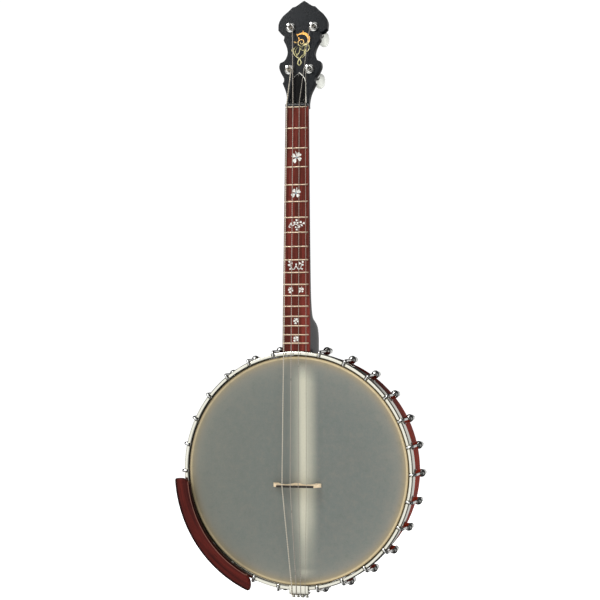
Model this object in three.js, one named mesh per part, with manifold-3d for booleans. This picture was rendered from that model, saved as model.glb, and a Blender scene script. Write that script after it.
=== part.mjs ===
// A four-string cello banjo with an open-back 14 inch pot, in millimetres, +Z up.
// The banjo stands upright with its neck along +Z and its drum head facing -Y. The pot's axis is Y.
// The exported group's origin is the place where a wall hanger's fork carries the headstock.

import * as THREE from 'three';
import { mergeVertices } from 'three/addons/utils/BufferGeometryUtils.js';
import Module from 'manifold-3d';

const wasm = await Module();
wasm.setup();

// ---------------------------------------------------------------- driving dimensions

const GAP = 0.3; // left between solids that touch
const FULL_TURN = 2 * Math.PI;

// Pot. Radii are from the pot's axis, depths are along +Y from the playing surface of the head.
const RING_SEGMENTS = 60; // shared by every ring, so that their facets line up
const RIM = { outer: 178.4, inner: 165.7, front: 7.2, back: 72 };
const TONE_RING = { radius: 174.3, tube: 3.1 };
const HEAD = { radius: 178.4, film: 0.4, collar: 6.8 };
const FLESH_HOOP = { inner: 178.8, outer: 182.4, front: 3.3, back: 8.3 };
const HOOP = { inner: 179.4, outer: 185.3, front: -3.5, back: 12.5, skirtInner: 182.8, ledge: 3.0 };

// Tension brackets: a hook, its nut, and the shoe that is bolted to the rim.
const BRACKETS_PER_SIDE = 13;
const FIRST_BRACKET = THREE.MathUtils.degToRad(11.7);
const BRACKET_STEP = THREE.MathUtils.degToRad(13.2);
const HOOK = { rod: 2.3, shaft: 188.2, tip: 180.6, crown: -2.6, bend: 2.8 };
const NOTCH = { width: 5.4, depth: 3.5 };
const SHOE = { radius: 6.2, base: 178.8, top: 195, depth: 38 };
const HOOK_NUT = { radius: 4.6, back: 57 };
const SHOE_BOLT = { shank: 2.2, hole: 2.7, head: 4.4, inner: 161, seat: 164.6 };

// Neck. Its own frame starts on the fretboard's surface beside the tension hoop, with +Z towards the nut.
const SCALE_LENGTH = 587.4;
const FRET_COUNT = 17;
const NECK_START = { depth: HOOP.front, height: HOOP.outer + 0.6 };
const NECK_BACK_ANGLE = THREE.MathUtils.degToRad(1.9);
const FRETBOARD = { length: 380.8, thickness: 6, potHalf: 21.9, nutHalf: 18 };
const FRET = { width: 2.4, height: 1.1 };
const ZERO_FRET = { along: 379.2, height: 1.5 }; // the strings' lengths start on it
const NUT = { length: 3.8, proud: 1.5 };

// Headstock. Its own frame starts beside the zero fret on the overlay's surface, with +Z towards the tip.
const HEADSTOCK_ANGLE = THREE.MathUtils.degToRad(11.4);
const HEADSTOCK = { start: 379.6, drop: 4.2, thickness: 13, overlay: 1.6 };
const TUNER_PLACES = [
  { side: 1, x: 16.4, along: 61.8 }, // first string
  { side: 1, x: 18.9, along: 131.8 },
  { side: -1, x: 18.9, along: 131.8 },
  { side: -1, x: 16.4, along: 61.8 }, // fourth string
];
const TUNER_HOLE = 5.2;
const TUNER_SEGMENTS = 10;
const KNOB = { halfWidth: 8.2, halfLength: 11.8, front: 41.6, back: 65 };

// Strings, first to fourth, by diameter, and how they spread at the nut, bridge and tailpiece.
const STRING_DIAMETERS = [0.7, 0.9, 1.2, 1.6];
const STRING_SIDES = 8;
const STRING_SPREAD = { nut: 30.4, bridge: 39.2, tailpiece: 21.6 };
const WINDING = { radius: 3.6, along: -7.1 };

// The bridge's tail side is upright and its neck side leans: thickness is at the feet.
const BRIDGE = { height: 16, cap: 2.9, footHalf: 38.6, capHalf: 30, thickness: 6, capThickness: 3.2 };
const BRIDGE_HEIGHT_ON_HEAD = NECK_START.height + ZERO_FRET.along - SCALE_LENGTH - 1;

const RODS = { upper: 25, lower: 50, radius: 4.8, bolt: 3, hole: 3.5 };
const TAILPIECE = {
  halfWidth: 15.5,
  plate: 2.2,
  front: -6.6,
  inner: 177.3,
  outer: 191,
  back: 34,
  shift: 2.6, // to the first string's side of the middle
};
const KNOB_POSTS = { radius: 2.1, head: 2.8, depth: 4, end: 197 };

// Armrest. Its angles are in degrees, counter-clockwise from the first string's side as seen from the front.
const ARMREST = {
  inner: 174,
  outer: 197.6,
  front: -15.4,
  thickness: 8.6,
  start: 182.5,
  sweep: 64.6,
  drop: 5.6, // how far the centre of its curve lies below the pot's
};
const ARMREST_BRACKETS = [7.5, 9.5]; // in bracket steps from the neck, each half way between two hooks

// A wall hanger's fork carries the headstock at this place in the pot's frame.
const HANG_POINT = new THREE.Vector3(0, 25, 589);

// ---------------------------------------------------------------- materials

const finish = (color, roughness, metalness) =>
  new THREE.MeshStandardMaterial({ color, roughness, metalness });
const MATERIALS = {
  chrome: finish(0xd9d9d6, 0.12, 1),
  brass: finish(0xc9a24f, 0.3, 1),
  rimWood: finish(0x6a2018, 0.35, 0),
  blackWood: finish(0x101214, 0.25, 0),
  fretboardWood: finish(0x5a2620, 0.5, 0),
  maple: finish(0xe8d3ae, 0.5, 0),
  ebony: finish(0x1a1512, 0.45, 0),
  headFilm: finish(0x8a8f89, 0.45, 0),
  pearl: finish(0xe9e6da, 0.25, 0),
  blackPlastic: finish(0x0c0c0d, 0.2, 0),
  stringMetal: finish(0xc8c6bd, 0.3, 1),
};

// ---------------------------------------------------------------- helpers

// A closed geometry as a manifold-3d solid with its faces pointing out.
function solidOf(geometry) {
  const bare = geometry.index ? geometry.toNonIndexed() : geometry.clone();
  bare.deleteAttribute('normal');
  bare.deleteAttribute('uv');
  const merged = mergeVertices(bare, 1e-3);
  const corners = [];
  for (let i = 0; i < merged.index.count; i += 3) {
    const [a, b, c] = [0, 1, 2].map((k) => merged.index.getX(i + k));
    if (a !== b && b !== c && a !== c) corners.push([a, b, c]);
  }
  const build = (triangles) =>
    new wasm.Manifold(
      new wasm.Mesh({
        numProp: 3,
        vertProperties: Float32Array.from(merged.attributes.position.array),
        triVerts: Uint32Array.from(triangles.flat()),
      }),
    );
  const solid = build(corners);
  return solid.volume() < 0 ? build(corners.map(([a, b, c]) => [a, c, b])) : solid;
}

function geometryOf(solid) {
  const { vertProperties, triVerts } = solid.getMesh();
  const geometry = new THREE.BufferGeometry();
  geometry.setAttribute('position', new THREE.BufferAttribute(vertProperties, 3));
  geometry.setIndex(new THREE.BufferAttribute(triVerts, 1));
  geometry.computeVertexNormals();
  return geometry;
}

const joined = (first, ...others) => others.reduce((all, next) => all.add(next), first);
const moved = (solid, matrix) => solid.transform(matrix.elements);

// One solid turned about the pot's axis, clockwise as seen from the front.
const turned = (solid, angle) => moved(solid, new THREE.Matrix4().makeRotationY(angle));

// A solid of revolution about Y. The profile is a list of [radius, depth].
function turning(profile, segments) {
  const points = profile.map(([radius, depth]) => new THREE.Vector2(radius, depth));
  return solidOf(new THREE.LatheGeometry(points, segments));
}

// A ring about the pot's axis. Its profile closes on itself.
const ring = (profile) => turning([...profile, profile[0]], RING_SEGMENTS);

// A lathe-turned piece whose axis is a radius of the pot, along +Z. The profile is [radius, distance].
function radialTurning(profile, segments) {
  return moved(turning(profile, segments), new THREE.Matrix4().makeRotationX(Math.PI / 2));
}

function block(width, depth, height, x, y, z) {
  return solidOf(new THREE.BoxGeometry(width, depth, height).translate(x, y, z));
}

// A flat outline drawn in X and Z, extruded along +Y from the given depth.
function plate(shape, depth, thickness, curveSegments = 6) {
  const options = { depth: thickness, bevelEnabled: false, curveSegments };
  const geometry = new THREE.ExtrudeGeometry(shape, options);
  geometry.rotateX(Math.PI / 2); // the shape's +Y becomes +Z, and the extrusion runs along -Y
  return solidOf(geometry.translate(0, depth + thickness, 0));
}

// A route that turns at its points, so that a tube along it has one section at each of them.
class Route extends THREE.Curve {
  constructor(points) {
    super();
    this.points = points;
  }
  getPoint(t) {
    const place = t * (this.points.length - 1);
    const index = Math.min(Math.floor(place), this.points.length - 2);
    return this.points[index].clone().lerp(this.points[index + 1], place - index);
  }
  getSpacedPoints() {
    return this.points;
  }
  getTangentAt(u) {
    const index = Math.round(u * (this.points.length - 1));
    const before = this.points[Math.max(index - 1, 0)];
    const after = this.points[Math.min(index + 1, this.points.length - 1)];
    const here = this.points[index];
    const arriving = here.clone().sub(before).normalize();
    const leaving = after.clone().sub(here).normalize();
    return arriving.add(leaving).normalize();
  }
}

function tube(points, radius, sides) {
  const circle = new THREE.Path().absarc(0, 0, radius, 0, FULL_TURN);
  const section = new THREE.Shape(circle.getPoints(sides).slice(0, -1));
  const options = { extrudePath: new Route(points), steps: points.length - 1, bevelEnabled: false };
  return solidOf(new THREE.ExtrudeGeometry(section, options));
}

// ---------------------------------------------------------------- scene graph

const banjo = new THREE.Group();
const pot = new THREE.Group();
pot.position.copy(HANG_POINT).negate();
banjo.add(pot);

const neckFrame = new THREE.Group();
neckFrame.position.set(0, NECK_START.depth, NECK_START.height);
neckFrame.rotation.x = -NECK_BACK_ANGLE;
pot.add(neckFrame);

const headstockFrame = new THREE.Group();
headstockFrame.position.set(0, HEADSTOCK.drop, HEADSTOCK.start);
headstockFrame.rotation.x = -HEADSTOCK_ANGLE;
neckFrame.add(headstockFrame);

for (const frame of [neckFrame, headstockFrame]) frame.updateMatrix();
const neckToPot = neckFrame.matrix.clone();
const headstockToPot = neckToPot.clone().multiply(headstockFrame.matrix);

function addPart(parent, name, solid, material) {
  const mesh = new THREE.Mesh(geometryOf(solid), material);
  mesh.name = name;
  parent.add(mesh);
  return mesh;
}

const bracketAngles = [1, -1].flatMap((side) =>
  Array.from({ length: BRACKETS_PER_SIDE }, (_, k) => side * (FIRST_BRACKET + k * BRACKET_STEP)),
);

// ---------------------------------------------------------------- pot

function makeRim() {
  const [inside, outside] = [RIM.inner - 5, RIM.outer + 5];
  const holeThroughWall = (radius, sides) =>
    radialTurning([[0, inside], [radius, inside], [radius, outside], [0, outside]], sides);
  const shoeHole = holeThroughWall(SHOE_BOLT.hole, 6).translate([0, SHOE.depth, 0]);
  const rodHole = holeThroughWall(RODS.hole, 8);
  let rim = ring([
    [RIM.inner, RIM.front],
    [RIM.outer, RIM.front],
    [RIM.outer, RIM.back],
    [RIM.inner, RIM.back],
  ]);
  for (const angle of bracketAngles) rim = rim.subtract(turned(shoeHole, angle));
  for (const depth of [RODS.upper, RODS.lower]) {
    for (const angle of [0, Math.PI]) rim = rim.subtract(turned(rodHole.translate([0, depth, 0]), angle));
  }
  return rim;
}

// A brass rod bent to a circle, standing on the rim under the head.
function makeToneRing() {
  const { radius, tube: rod } = TONE_RING;
  const middle = HEAD.film + GAP + rod;
  const sides = 4;
  const profile = Array.from({ length: sides }, (_, k) => {
    const angle = (k / sides) * FULL_TURN;
    return [radius + rod * Math.cos(angle), middle + rod * Math.sin(angle)];
  });
  return ring(profile);
}

function makeHead() {
  return turning(
    [
      [0, 0],
      [HEAD.radius, 0],
      [HEAD.radius, HEAD.collar],
      [HEAD.radius - HEAD.film, HEAD.collar],
      [HEAD.radius - HEAD.film, HEAD.film],
      [0, HEAD.film],
    ],
    RING_SEGMENTS,
  );
}

function makeFleshHoop() {
  const { inner, outer, front, back } = FLESH_HOOP;
  return ring([[inner, front], [outer, front], [outer, back], [inner, back]]);
}

// The metal ring that pulls the head down, with a notch for each hook.
function makeTensionHoop() {
  let hoop = ring([
    [HOOP.inner, HOOP.front],
    [HOOP.outer, HOOP.front],
    [HOOP.outer, HOOP.back],
    [HOOP.skirtInner, HOOP.back],
    [HOOP.skirtInner, HOOP.ledge],
    [HOOP.inner, HOOP.ledge],
  ]);
  const overcut = 5;
  const middle = (HOOP.inner + HOOP.outer) / 2;
  const notch = block(
    NOTCH.width,
    NOTCH.depth + overcut,
    HOOP.outer - HOOP.inner + overcut,
    0,
    HOOP.front + (NOTCH.depth - overcut) / 2,
    middle,
  );
  for (const angle of bracketAngles) hoop = hoop.subtract(turned(notch, angle));
  return hoop;
}

// One hook with its nut, and the shoe and shoe bolt that hold it to the rim, along +Z.
function makeBracket() {
  const { rod, shaft, tip, crown, bend } = HOOK;
  const bendSteps = 2;
  const route = [new THREE.Vector3(0, crown, tip)];
  for (let k = 0; k <= bendSteps; k += 1) {
    const angle = (k / bendSteps) * (Math.PI / 2);
    const height = shaft - bend + bend * Math.sin(angle);
    route.push(new THREE.Vector3(0, crown + bend - bend * Math.cos(angle), height));
  }
  route.push(new THREE.Vector3(0, SHOE.depth, shaft));
  const hook = tube(route, rod, 6);

  const { radius, base, top, depth } = SHOE;
  const shoulder = top - radius;
  const shoe = radialTurning(
    [[0, base], [radius, base], [radius, shoulder], [radius * 0.6, top], [0, top]],
    6,
  ).translate([0, depth, 0]);
  const bolt = radialTurning(
    [
      [0, SHOE_BOLT.inner],
      [SHOE_BOLT.head, SHOE_BOLT.inner],
      [SHOE_BOLT.head, SHOE_BOLT.seat],
      [SHOE_BOLT.shank, SHOE_BOLT.seat],
      [SHOE_BOLT.shank, base + 2],
      [0, base + 2],
    ],
    6,
  ).translate([0, depth, 0]);
  const nut = turning(
    [[0, depth], [HOOK_NUT.radius, depth], [HOOK_NUT.radius, HOOK_NUT.back], [0, HOOK_NUT.back]],
    6,
  ).translate([0, 0, shaft]);
  return joined(shoe, hook, bolt, nut);
}

// A coordinator rod with its end bolts: into the heel at the top, and through the rim to a domed nut at
// the bottom.
function makeRod(depth, tailEnd) {
  const { radius, bolt } = RODS;
  const face = RIM.inner - 0.8;
  const [flange, flangeDepth, nut, nutDepth, heelBolt] = [radius + 2.4, 5, 5.2, 8, 34];
  return radialTurning(
    [
      [0, -tailEnd],
      [nut * 0.6, -tailEnd],
      [nut, -tailEnd + nutDepth / 2],
      [nut, -tailEnd + nutDepth],
      [bolt, -tailEnd + nutDepth],
      [bolt, -face],
      [flange, -face],
      [flange, -face + flangeDepth],
      [radius, -face + flangeDepth],
      [radius, face - flangeDepth],
      [flange, face - flangeDepth],
      [flange, face],
      [bolt, face],
      [bolt, face + heelBolt],
      [0, face + heelBolt],
    ],
    8,
  ).translate([0, depth, 0]);
}

// ---------------------------------------------------------------- neck

const halfWidthAt = (along) =>
  THREE.MathUtils.lerp(FRETBOARD.potHalf, FRETBOARD.nutHalf, along / FRETBOARD.length);

// [distance from the hoop, depth from the fretboard's surface to the back, squareness of the section]
const NECK_STATIONS = [
  [-10, 68.5, 6],
  [22, 68.5, 6],
  [35, 65.5, 5.5],
  [42, 59, 5],
  [46.5, 50.5, 4],
  [50.5, 42, 3.2],
  [58, 35.8, 2.7],
  [74, 31, 2.4],
  [98, 28, 2.3],
  [240, 22, 2.3],
  [345, 20.4, 2.3],
  [384.7, 20, 2.3],
];

// The neck's shaft and heel: a cylinder whose sections are stretched to the station's width and depth.
function makeNeckShaft() {
  const sides = 18;
  const rows = NECK_STATIONS.length - 1;
  const geometry = new THREE.CylinderGeometry(1, 1, rows, sides, rows);
  const place = geometry.attributes.position;
  for (let i = 0; i < place.count; i += 1) {
    const row = Math.round(place.getY(i) + rows / 2);
    const [along, depth, squareness] = NECK_STATIONS[row];
    const half = halfWidthAt(along);
    const top = FRETBOARD.thickness + GAP;
    const power = 2 / squareness;
    const [across, back] = [place.getX(i), place.getZ(i)];
    const x = half * Math.sign(across) * Math.abs(across) ** power;
    const y = back > 1e-6 ? top + (depth - top) * back ** power : top;
    place.setXYZ(i, x, y, along);
  }
  return solidOf(geometry);
}

// The right half of the headstock's outline as [x, along], from the nut to the tip. A list of points is
// one smooth stretch, and the outline has a corner wherever two stretches meet.
const HEADSTOCK_HALF = [
  [[18, 0], [17.6, 10], [19.9, 24], [26.8, 40.2]],
  [[26.8, 40.2], [24.9, 43.8], [25.3, 48.8]],
  [[25.3, 48.8], [31.2, 58.4], [34.2, 66.8], [33.5, 73.8]],
  [[33.5, 73.8], [25.8, 78.4], [22, 88.6], [24, 99.8], [30, 111.6]],
  [[30, 111.6], [29.1, 116.8], [30.2, 122.2]],
  [[30.2, 122.2], [35, 123.8], [39.9, 128.8]],
  [[39.9, 128.8], [39.8, 140.6], [34.4, 151.4], [25.6, 159.6], [18.5, 166.6]],
  [[18.5, 166.6], [14.4, 167.4], [10, 170]],
  [[10, 170], [0, 176.8]],
];

function headstockShape(from) {
  const half = HEADSTOCK_HALF.flatMap((stretch) => {
    const corners = stretch.map(([x, along]) => new THREE.Vector2(x, along));
    if (corners.length === 2) return corners;
    return new THREE.SplineCurve(corners).getPoints(2 * (corners.length - 1));
  });
  const right = half.filter((p, i) => p.y >= from && (i === 0 || p.distanceTo(half[i - 1]) > 0.01));
  const left = right.slice(0, -1).reverse().map((p) => new THREE.Vector2(-p.x, p.y));
  return new THREE.Shape([...right, ...left]);
}

function tunerHoles(from, to) {
  const hole = turning([[0, from], [TUNER_HOLE, from], [TUNER_HOLE, to], [0, to]], TUNER_SEGMENTS);
  return TUNER_PLACES.map(({ side, x, along }) => hole.translate([side * x, 0, along]));
}

function makeNeck() {
  const woodFront = HEADSTOCK.overlay + GAP;
  let headstock = plate(headstockShape(0), woodFront, HEADSTOCK.thickness - woodFront);
  for (const hole of tunerHoles(0, HEADSTOCK.thickness + 5)) headstock = headstock.subtract(hole);
  const seatEnd = FRETBOARD.length + NUT.length + 0.1;
  const seat = block(60, 40, 60, 0, FRETBOARD.thickness + GAP - 20, seatEnd - 30);
  const whole = joined(makeNeckShaft(), moved(headstock, headstockFrame.matrix)).subtract(seat);
  const clear = 0.6;
  const potShape = turning(
    [
      [0, -30],
      [HOOP.outer + clear, -30],
      [HOOP.outer + clear, HOOP.back + clear],
      [RIM.outer + GAP, HOOP.back + clear],
      [RIM.outer + GAP, 90],
      [0, 90],
    ],
    RING_SEGMENTS,
  );
  const boltHole = radialTurning([[0, 170], [RODS.hole, 170], [RODS.hole, 205], [0, 205]], 8);
  const boltHoles = [RODS.upper, RODS.lower].map((depth) => boltHole.translate([0, depth, 0]));
  const cuts = joined(potShape, ...boltHoles);
  return whole.subtract(moved(cuts, neckToPot.clone().invert()));
}

function makeHeadstockOverlay() {
  const afterNut = FRETBOARD.length + NUT.length - HEADSTOCK.start + 0.6;
  let overlay = plate(headstockShape(afterNut), 0, HEADSTOCK.overlay);
  for (const hole of tunerHoles(-5, 5)) overlay = overlay.subtract(hole);
  return overlay;
}

// The board with its frets pressed in. The end beside the pot is curved to the tension hoop.
function makeFretboard() {
  const { length, thickness, potHalf, nutHalf } = FRETBOARD;
  const end = length - GAP;
  const curve = NECK_START.height - 0.1;
  const reach = Math.asin(potHalf / curve);
  const outline = new THREE.Shape();
  outline.moveTo(nutHalf, end);
  outline.lineTo(-nutHalf, end);
  outline.absarc(0, -curve + GAP, curve, Math.PI / 2 + reach, Math.PI / 2 - reach, true);
  outline.closePath();
  let board = plate(outline, 0, thickness, 4);
  for (let n = 0; n <= FRET_COUNT; n += 1) {
    const along = ZERO_FRET.along - SCALE_LENGTH * (1 - 2 ** (-n / 12));
    const height = n === 0 ? ZERO_FRET.height : FRET.height;
    const sink = 0.4;
    const width = 2 * halfWidthAt(along) - 0.8;
    board = board.add(block(width, height + sink, FRET.width, 0, (sink - height) / 2, along));
  }
  return board;
}

function makeNut() {
  const height = FRETBOARD.thickness + NUT.proud;
  const middle = (FRETBOARD.thickness - NUT.proud) / 2;
  const along = FRETBOARD.length + NUT.length / 2;
  return block(2 * FRETBOARD.nutHalf, height, NUT.length - 0.2, 0, middle, along);
}

// A bell-shaped plate over the truss rod's nut.
function makeTrussRodCover() {
  const outline = new THREE.Shape();
  const [foot, start, waist, tip] = [15, 6.4, 12.4, 57];
  outline.moveTo(-foot, start);
  outline.lineTo(foot, start);
  outline.quadraticCurveTo(waist + 0.6, 18, waist, 34);
  outline.bezierCurveTo(waist - 0.6, 46, 7, 50, 0, tip);
  outline.bezierCurveTo(-7, 50, -waist + 0.6, 46, -waist, 34);
  outline.quadraticCurveTo(-waist - 0.6, 18, -foot, start);
  const thickness = 2;
  return plate(outline, -GAP - thickness, thickness, 5);
}

// ---------------------------------------------------------------- tuners, about +Y of the headstock

// The planetary tuner's housing with its threaded sleeve, front bushing and washer.
function makeTunerHousing() {
  const { thickness } = HEADSTOCK;
  const [bore, cavity, back] = [3.5, 6.2, thickness + 21.5];
  return turning(
    [
      [bore, -4.2],
      [5.8, -4.2],
      [5.8, -1.3],
      [7.75, -1.3],
      [7.75, -GAP],
      [4.9, -GAP],
      [4.9, thickness + 0.4],
      [8.6, thickness + 0.4],
      [8.6, thickness + 2],
      [7.6, thickness + 2],
      [7.6, back - 2.5],
      [6, back],
      [2.6, back],
      [2.6, back - 3],
      [cavity, back - 3],
      [cavity, thickness + 4],
      [bore, thickness + 4],
      [bore, -4.2],
    ],
    TUNER_SEGMENTS,
  );
}

// The string post with its carrier disc and the turns of string wound on it.
function makeTunerPost() {
  const carrier = HEADSTOCK.thickness + 4.4;
  const { radius, along } = WINDING;
  return turning(
    [
      [0, -14.5],
      [2.4, -14.5],
      [3, -13.8],
      [3, -9.6],
      [2.5, -8.9],
      [radius, along - 1],
      [radius, along + 1],
      [3, -5],
      [3, carrier],
      [5.5, carrier],
      [5.5, carrier + 5],
      [0, carrier + 5],
    ],
    TUNER_SEGMENTS,
  );
}

// The knob on its shaft, with the sun pinion at the inner end and the screw at the outer one.
function makeTunerButton() {
  const { halfWidth, halfLength, front, back } = KNOB;
  const length = back - front;
  const share = [[0, 0], [0.42, 0], [0.78, 0.2], [1, 0.55], [0.9, 0.86], [0.55, 1], [0, 1]];
  const knob = turning(
    share.map(([radius, along]) => [radius, front + along * length]),
    TUNER_SEGMENTS,
  ).scale([halfWidth, 1, halfLength]);
  const shaft = turning(
    [[0, HEADSTOCK.thickness + 10.2], [2, HEADSTOCK.thickness + 10.2], [2, front + 2], [0, front + 2]],
    TUNER_SEGMENTS,
  );
  const screw = turning([[0, back - 2], [2.6, back - 2], [2.6, back + 1], [0, back + 1]], TUNER_SEGMENTS);
  return joined(knob, shaft, screw);
}

// ---------------------------------------------------------------- bridge, tailpiece and strings

// The maple body on three feet, drawn from the front and extruded along the strings.
function makeBridge() {
  const { height, cap, footHalf, capHalf, thickness, capThickness } = BRIDGE;
  const top = height - cap - GAP;
  const [footWidth, archHeight, centreHalf] = [8, 6.6, 4.4];
  const outline = new THREE.Shape();
  outline.moveTo(-footHalf, GAP);
  outline.lineTo(-footHalf + footWidth, GAP);
  outline.bezierCurveTo(-footHalf + footWidth, archHeight, -centreHalf, archHeight, -centreHalf, GAP);
  outline.lineTo(centreHalf, GAP);
  outline.bezierCurveTo(centreHalf, archHeight, footHalf - footWidth, archHeight, footHalf - footWidth, GAP);
  outline.lineTo(footHalf, GAP);
  outline.quadraticCurveTo(footHalf - 3, 7, capHalf, top);
  outline.lineTo(-capHalf, top);
  outline.quadraticCurveTo(-footHalf + 3, 7, -footHalf, GAP);
  const options = { depth: 1, bevelEnabled: false, curveSegments: 5 };
  const geometry = new THREE.ExtrudeGeometry(outline, options);
  const place = geometry.attributes.position;
  for (let i = 0; i < place.count; i += 1) {
    const thicknessHere = THREE.MathUtils.lerp(thickness, capThickness, place.getY(i) / top);
    place.setZ(i, capThickness / 2 - thicknessHere * (1 - place.getZ(i)));
  }
  geometry.rotateX(Math.PI); // the outline's height becomes -Y, towards the player
  return solidOf(geometry.translate(0, 0, BRIDGE_HEIGHT_ON_HEAD));
}

function makeBridgeCap() {
  const { height, cap, capHalf, capThickness } = BRIDGE;
  return block(2 * capHalf, cap, capThickness, 0, -height + cap / 2, BRIDGE_HEIGHT_ON_HEAD);
}

const stringSide = (index) => 1.5 - index; // first string on the right
const spreadAt = (index, spread) => (stringSide(index) * spread) / 3;

// A bent plate that hooks over the hoop, with a hanger for the tail bolt and a post for each string. It
// sits a little to the first string's side of the middle.
function makeTailpiece() {
  const { halfWidth, plate: sheet, front, inner, outer, back, shift } = TAILPIECE;
  const top = block(2 * halfWidth, sheet, outer - inner, 0, front + sheet / 2, -(outer + inner) / 2);
  const [neckHalf, shoulder, throat] = [7.5, -8, -13];
  const hanger = new THREE.Shape();
  hanger.moveTo(-halfWidth, -front);
  hanger.lineTo(-halfWidth, shoulder);
  hanger.quadraticCurveTo(-neckHalf, throat, -neckHalf, -back);
  hanger.lineTo(neckHalf, -back);
  hanger.quadraticCurveTo(neckHalf, throat, halfWidth, shoulder);
  hanger.lineTo(halfWidth, -front);
  const options = { depth: sheet, bevelEnabled: false, curveSegments: 4 };
  const geometry = new THREE.ExtrudeGeometry(hanger, options);
  geometry.rotateX(Math.PI).translate(0, 0, -outer + sheet); // the outline's -Y becomes depth
  const { radius, head, depth, end } = KNOB_POSTS;
  const post = radialTurning(
    [
      [0, outer - 1],
      [radius, outer - 1],
      [radius, end - 2],
      [head, end - 1.6],
      [head, end - 0.4],
      [0, end],
    ],
    8,
  );
  const posts = STRING_DIAMETERS.map((_, index) =>
    turned(post, Math.PI).translate([spreadAt(index, STRING_SPREAD.tailpiece), depth, 0]),
  );
  const hole = radialTurning([[0, 180], [RODS.hole, 180], [RODS.hole, 200], [0, 200]], 8);
  const boltHole = turned(hole, Math.PI).translate([0, RODS.upper, 0]);
  return joined(top, solidOf(geometry), ...posts).translate([shift, 0, 0]).subtract(boltHole);
}

// A string runs from its tailpiece post over the plate, the bridge and the nut to its tuner's winding.
function makeString(index) {
  const radius = STRING_DIAMETERS[index] / 2;
  const lift = radius + GAP;
  const tail = TAILPIECE.shift + spreadAt(index, STRING_SPREAD.tailpiece);
  const plateTop = TAILPIECE.front - lift;
  const bridgeX = spreadAt(index, STRING_SPREAD.bridge);
  const { side, x, along } = TUNER_PLACES[index];
  const inside = side * (x - WINDING.radius - lift);
  const nutTop = -NUT.proud - lift;
  const nutX = spreadAt(index, STRING_SPREAD.nut);
  const onNut = (distance) =>
    new THREE.Vector3(nutX, nutTop, FRETBOARD.length + distance).applyMatrix4(neckToPot);
  const points = [
    new THREE.Vector3(tail, KNOB_POSTS.depth - KNOB_POSTS.radius - lift - 0.4, -TAILPIECE.outer - lift),
    new THREE.Vector3(tail, plateTop + 0.6, -TAILPIECE.outer - lift),
    new THREE.Vector3(tail, plateTop, -TAILPIECE.outer - lift + 0.8),
    new THREE.Vector3(tail, plateTop, -TAILPIECE.inner),
    new THREE.Vector3(bridgeX, -BRIDGE.height - lift, BRIDGE_HEIGHT_ON_HEAD),
    onNut(0),
    onNut(NUT.length),
    new THREE.Vector3(inside, WINDING.along, along).applyMatrix4(headstockToPot),
  ];
  return tube(points, radius, STRING_SIDES);
}

// ---------------------------------------------------------------- armrest

// A curved board over the hoop with rounded corners at its ends.
function makeArmrest() {
  const { inner, outer, front, thickness, start, sweep, drop } = ARMREST;
  const [from, to] = [start, start + sweep].map(THREE.MathUtils.degToRad);
  const at = (radius, angle) => [radius * Math.cos(angle), radius * Math.sin(angle)];
  const [sharp, round] = [THREE.MathUtils.degToRad(0.9), THREE.MathUtils.degToRad(5.2)];
  const outline = new THREE.Shape();
  outline.moveTo(...at(inner, from + round));
  outline.absarc(0, 0, inner, from + round, to - round, false);
  outline.quadraticCurveTo(...at(inner, to), ...at(inner + 16, to));
  outline.lineTo(...at(outer - 3, to));
  outline.quadraticCurveTo(...at(outer, to), ...at(outer, to - sharp));
  outline.absarc(0, 0, outer, to - sharp, from + sharp, true);
  outline.quadraticCurveTo(...at(outer, from), ...at(outer - 3, from));
  outline.lineTo(...at(inner + 16, from));
  outline.quadraticCurveTo(...at(inner, from), ...at(inner, from + round));
  return plate(outline, front, thickness, 9).translate([0, 0, -drop]);
}

// A bent strap that holds the armrest outside the hoop, along +Z, with a foot under the board.
function makeArmrestBracket() {
  const under = ARMREST.front + ARMREST.thickness + GAP;
  const [wide, sheet, outside, back] = [9, 1.6, 193.4, 30];
  const [footStart, clampStart, clampDepth] = [181, 186.2, 5];
  const foot = block(wide, sheet, outside - footStart, 0, under + sheet / 2, (outside + footStart) / 2);
  const leg = block(wide, back - under, sheet, 0, (back + under) / 2, outside - sheet / 2);
  const clampMiddle = (outside + clampStart) / 2;
  const clamp = block(wide, clampDepth, outside - clampStart, 0, back - clampDepth / 2, clampMiddle);
  return joined(foot, leg, clamp);
}

// ---------------------------------------------------------------- assembly

addPart(pot, 'rim', makeRim(), MATERIALS.rimWood);
addPart(pot, 'tone_ring', makeToneRing(), MATERIALS.brass);
addPart(pot, 'drum_head', makeHead(), MATERIALS.headFilm);
addPart(pot, 'flesh_hoop', makeFleshHoop(), MATERIALS.chrome);
addPart(pot, 'tension_hoop', makeTensionHoop(), MATERIALS.chrome);
addPart(pot, 'coordinator_rod_upper', makeRod(RODS.upper, 199.6), MATERIALS.chrome);
addPart(pot, 'coordinator_rod_lower', makeRod(RODS.lower, 187.6), MATERIALS.chrome);

const bracket = makeBracket();
bracketAngles.forEach((angle, index) => {
  const name = `tension_bracket_${String(index + 1).padStart(2, '0')}`;
  addPart(pot, name, bracket, MATERIALS.chrome).rotation.y = angle;
});

addPart(neckFrame, 'neck', makeNeck(), MATERIALS.blackWood);
addPart(neckFrame, 'fretboard', makeFretboard(), MATERIALS.fretboardWood);
addPart(neckFrame, 'nut', makeNut(), MATERIALS.blackPlastic);
addPart(headstockFrame, 'headstock_overlay', makeHeadstockOverlay(), MATERIALS.blackWood);
addPart(headstockFrame, 'truss_rod_cover', makeTrussRodCover(), MATERIALS.blackPlastic);

TUNER_PLACES.forEach(({ side, x, along }, index) => {
  const tuner = new THREE.Group();
  tuner.position.set(side * x, 0, along);
  headstockFrame.add(tuner);
  const label = `tuner_${index + 1}`;
  addPart(tuner, `${label}_housing`, makeTunerHousing(), MATERIALS.chrome);
  addPart(tuner, `${label}_post`, makeTunerPost(), MATERIALS.chrome);
  addPart(tuner, `${label}_button`, makeTunerButton(), MATERIALS.pearl);
});

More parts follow.
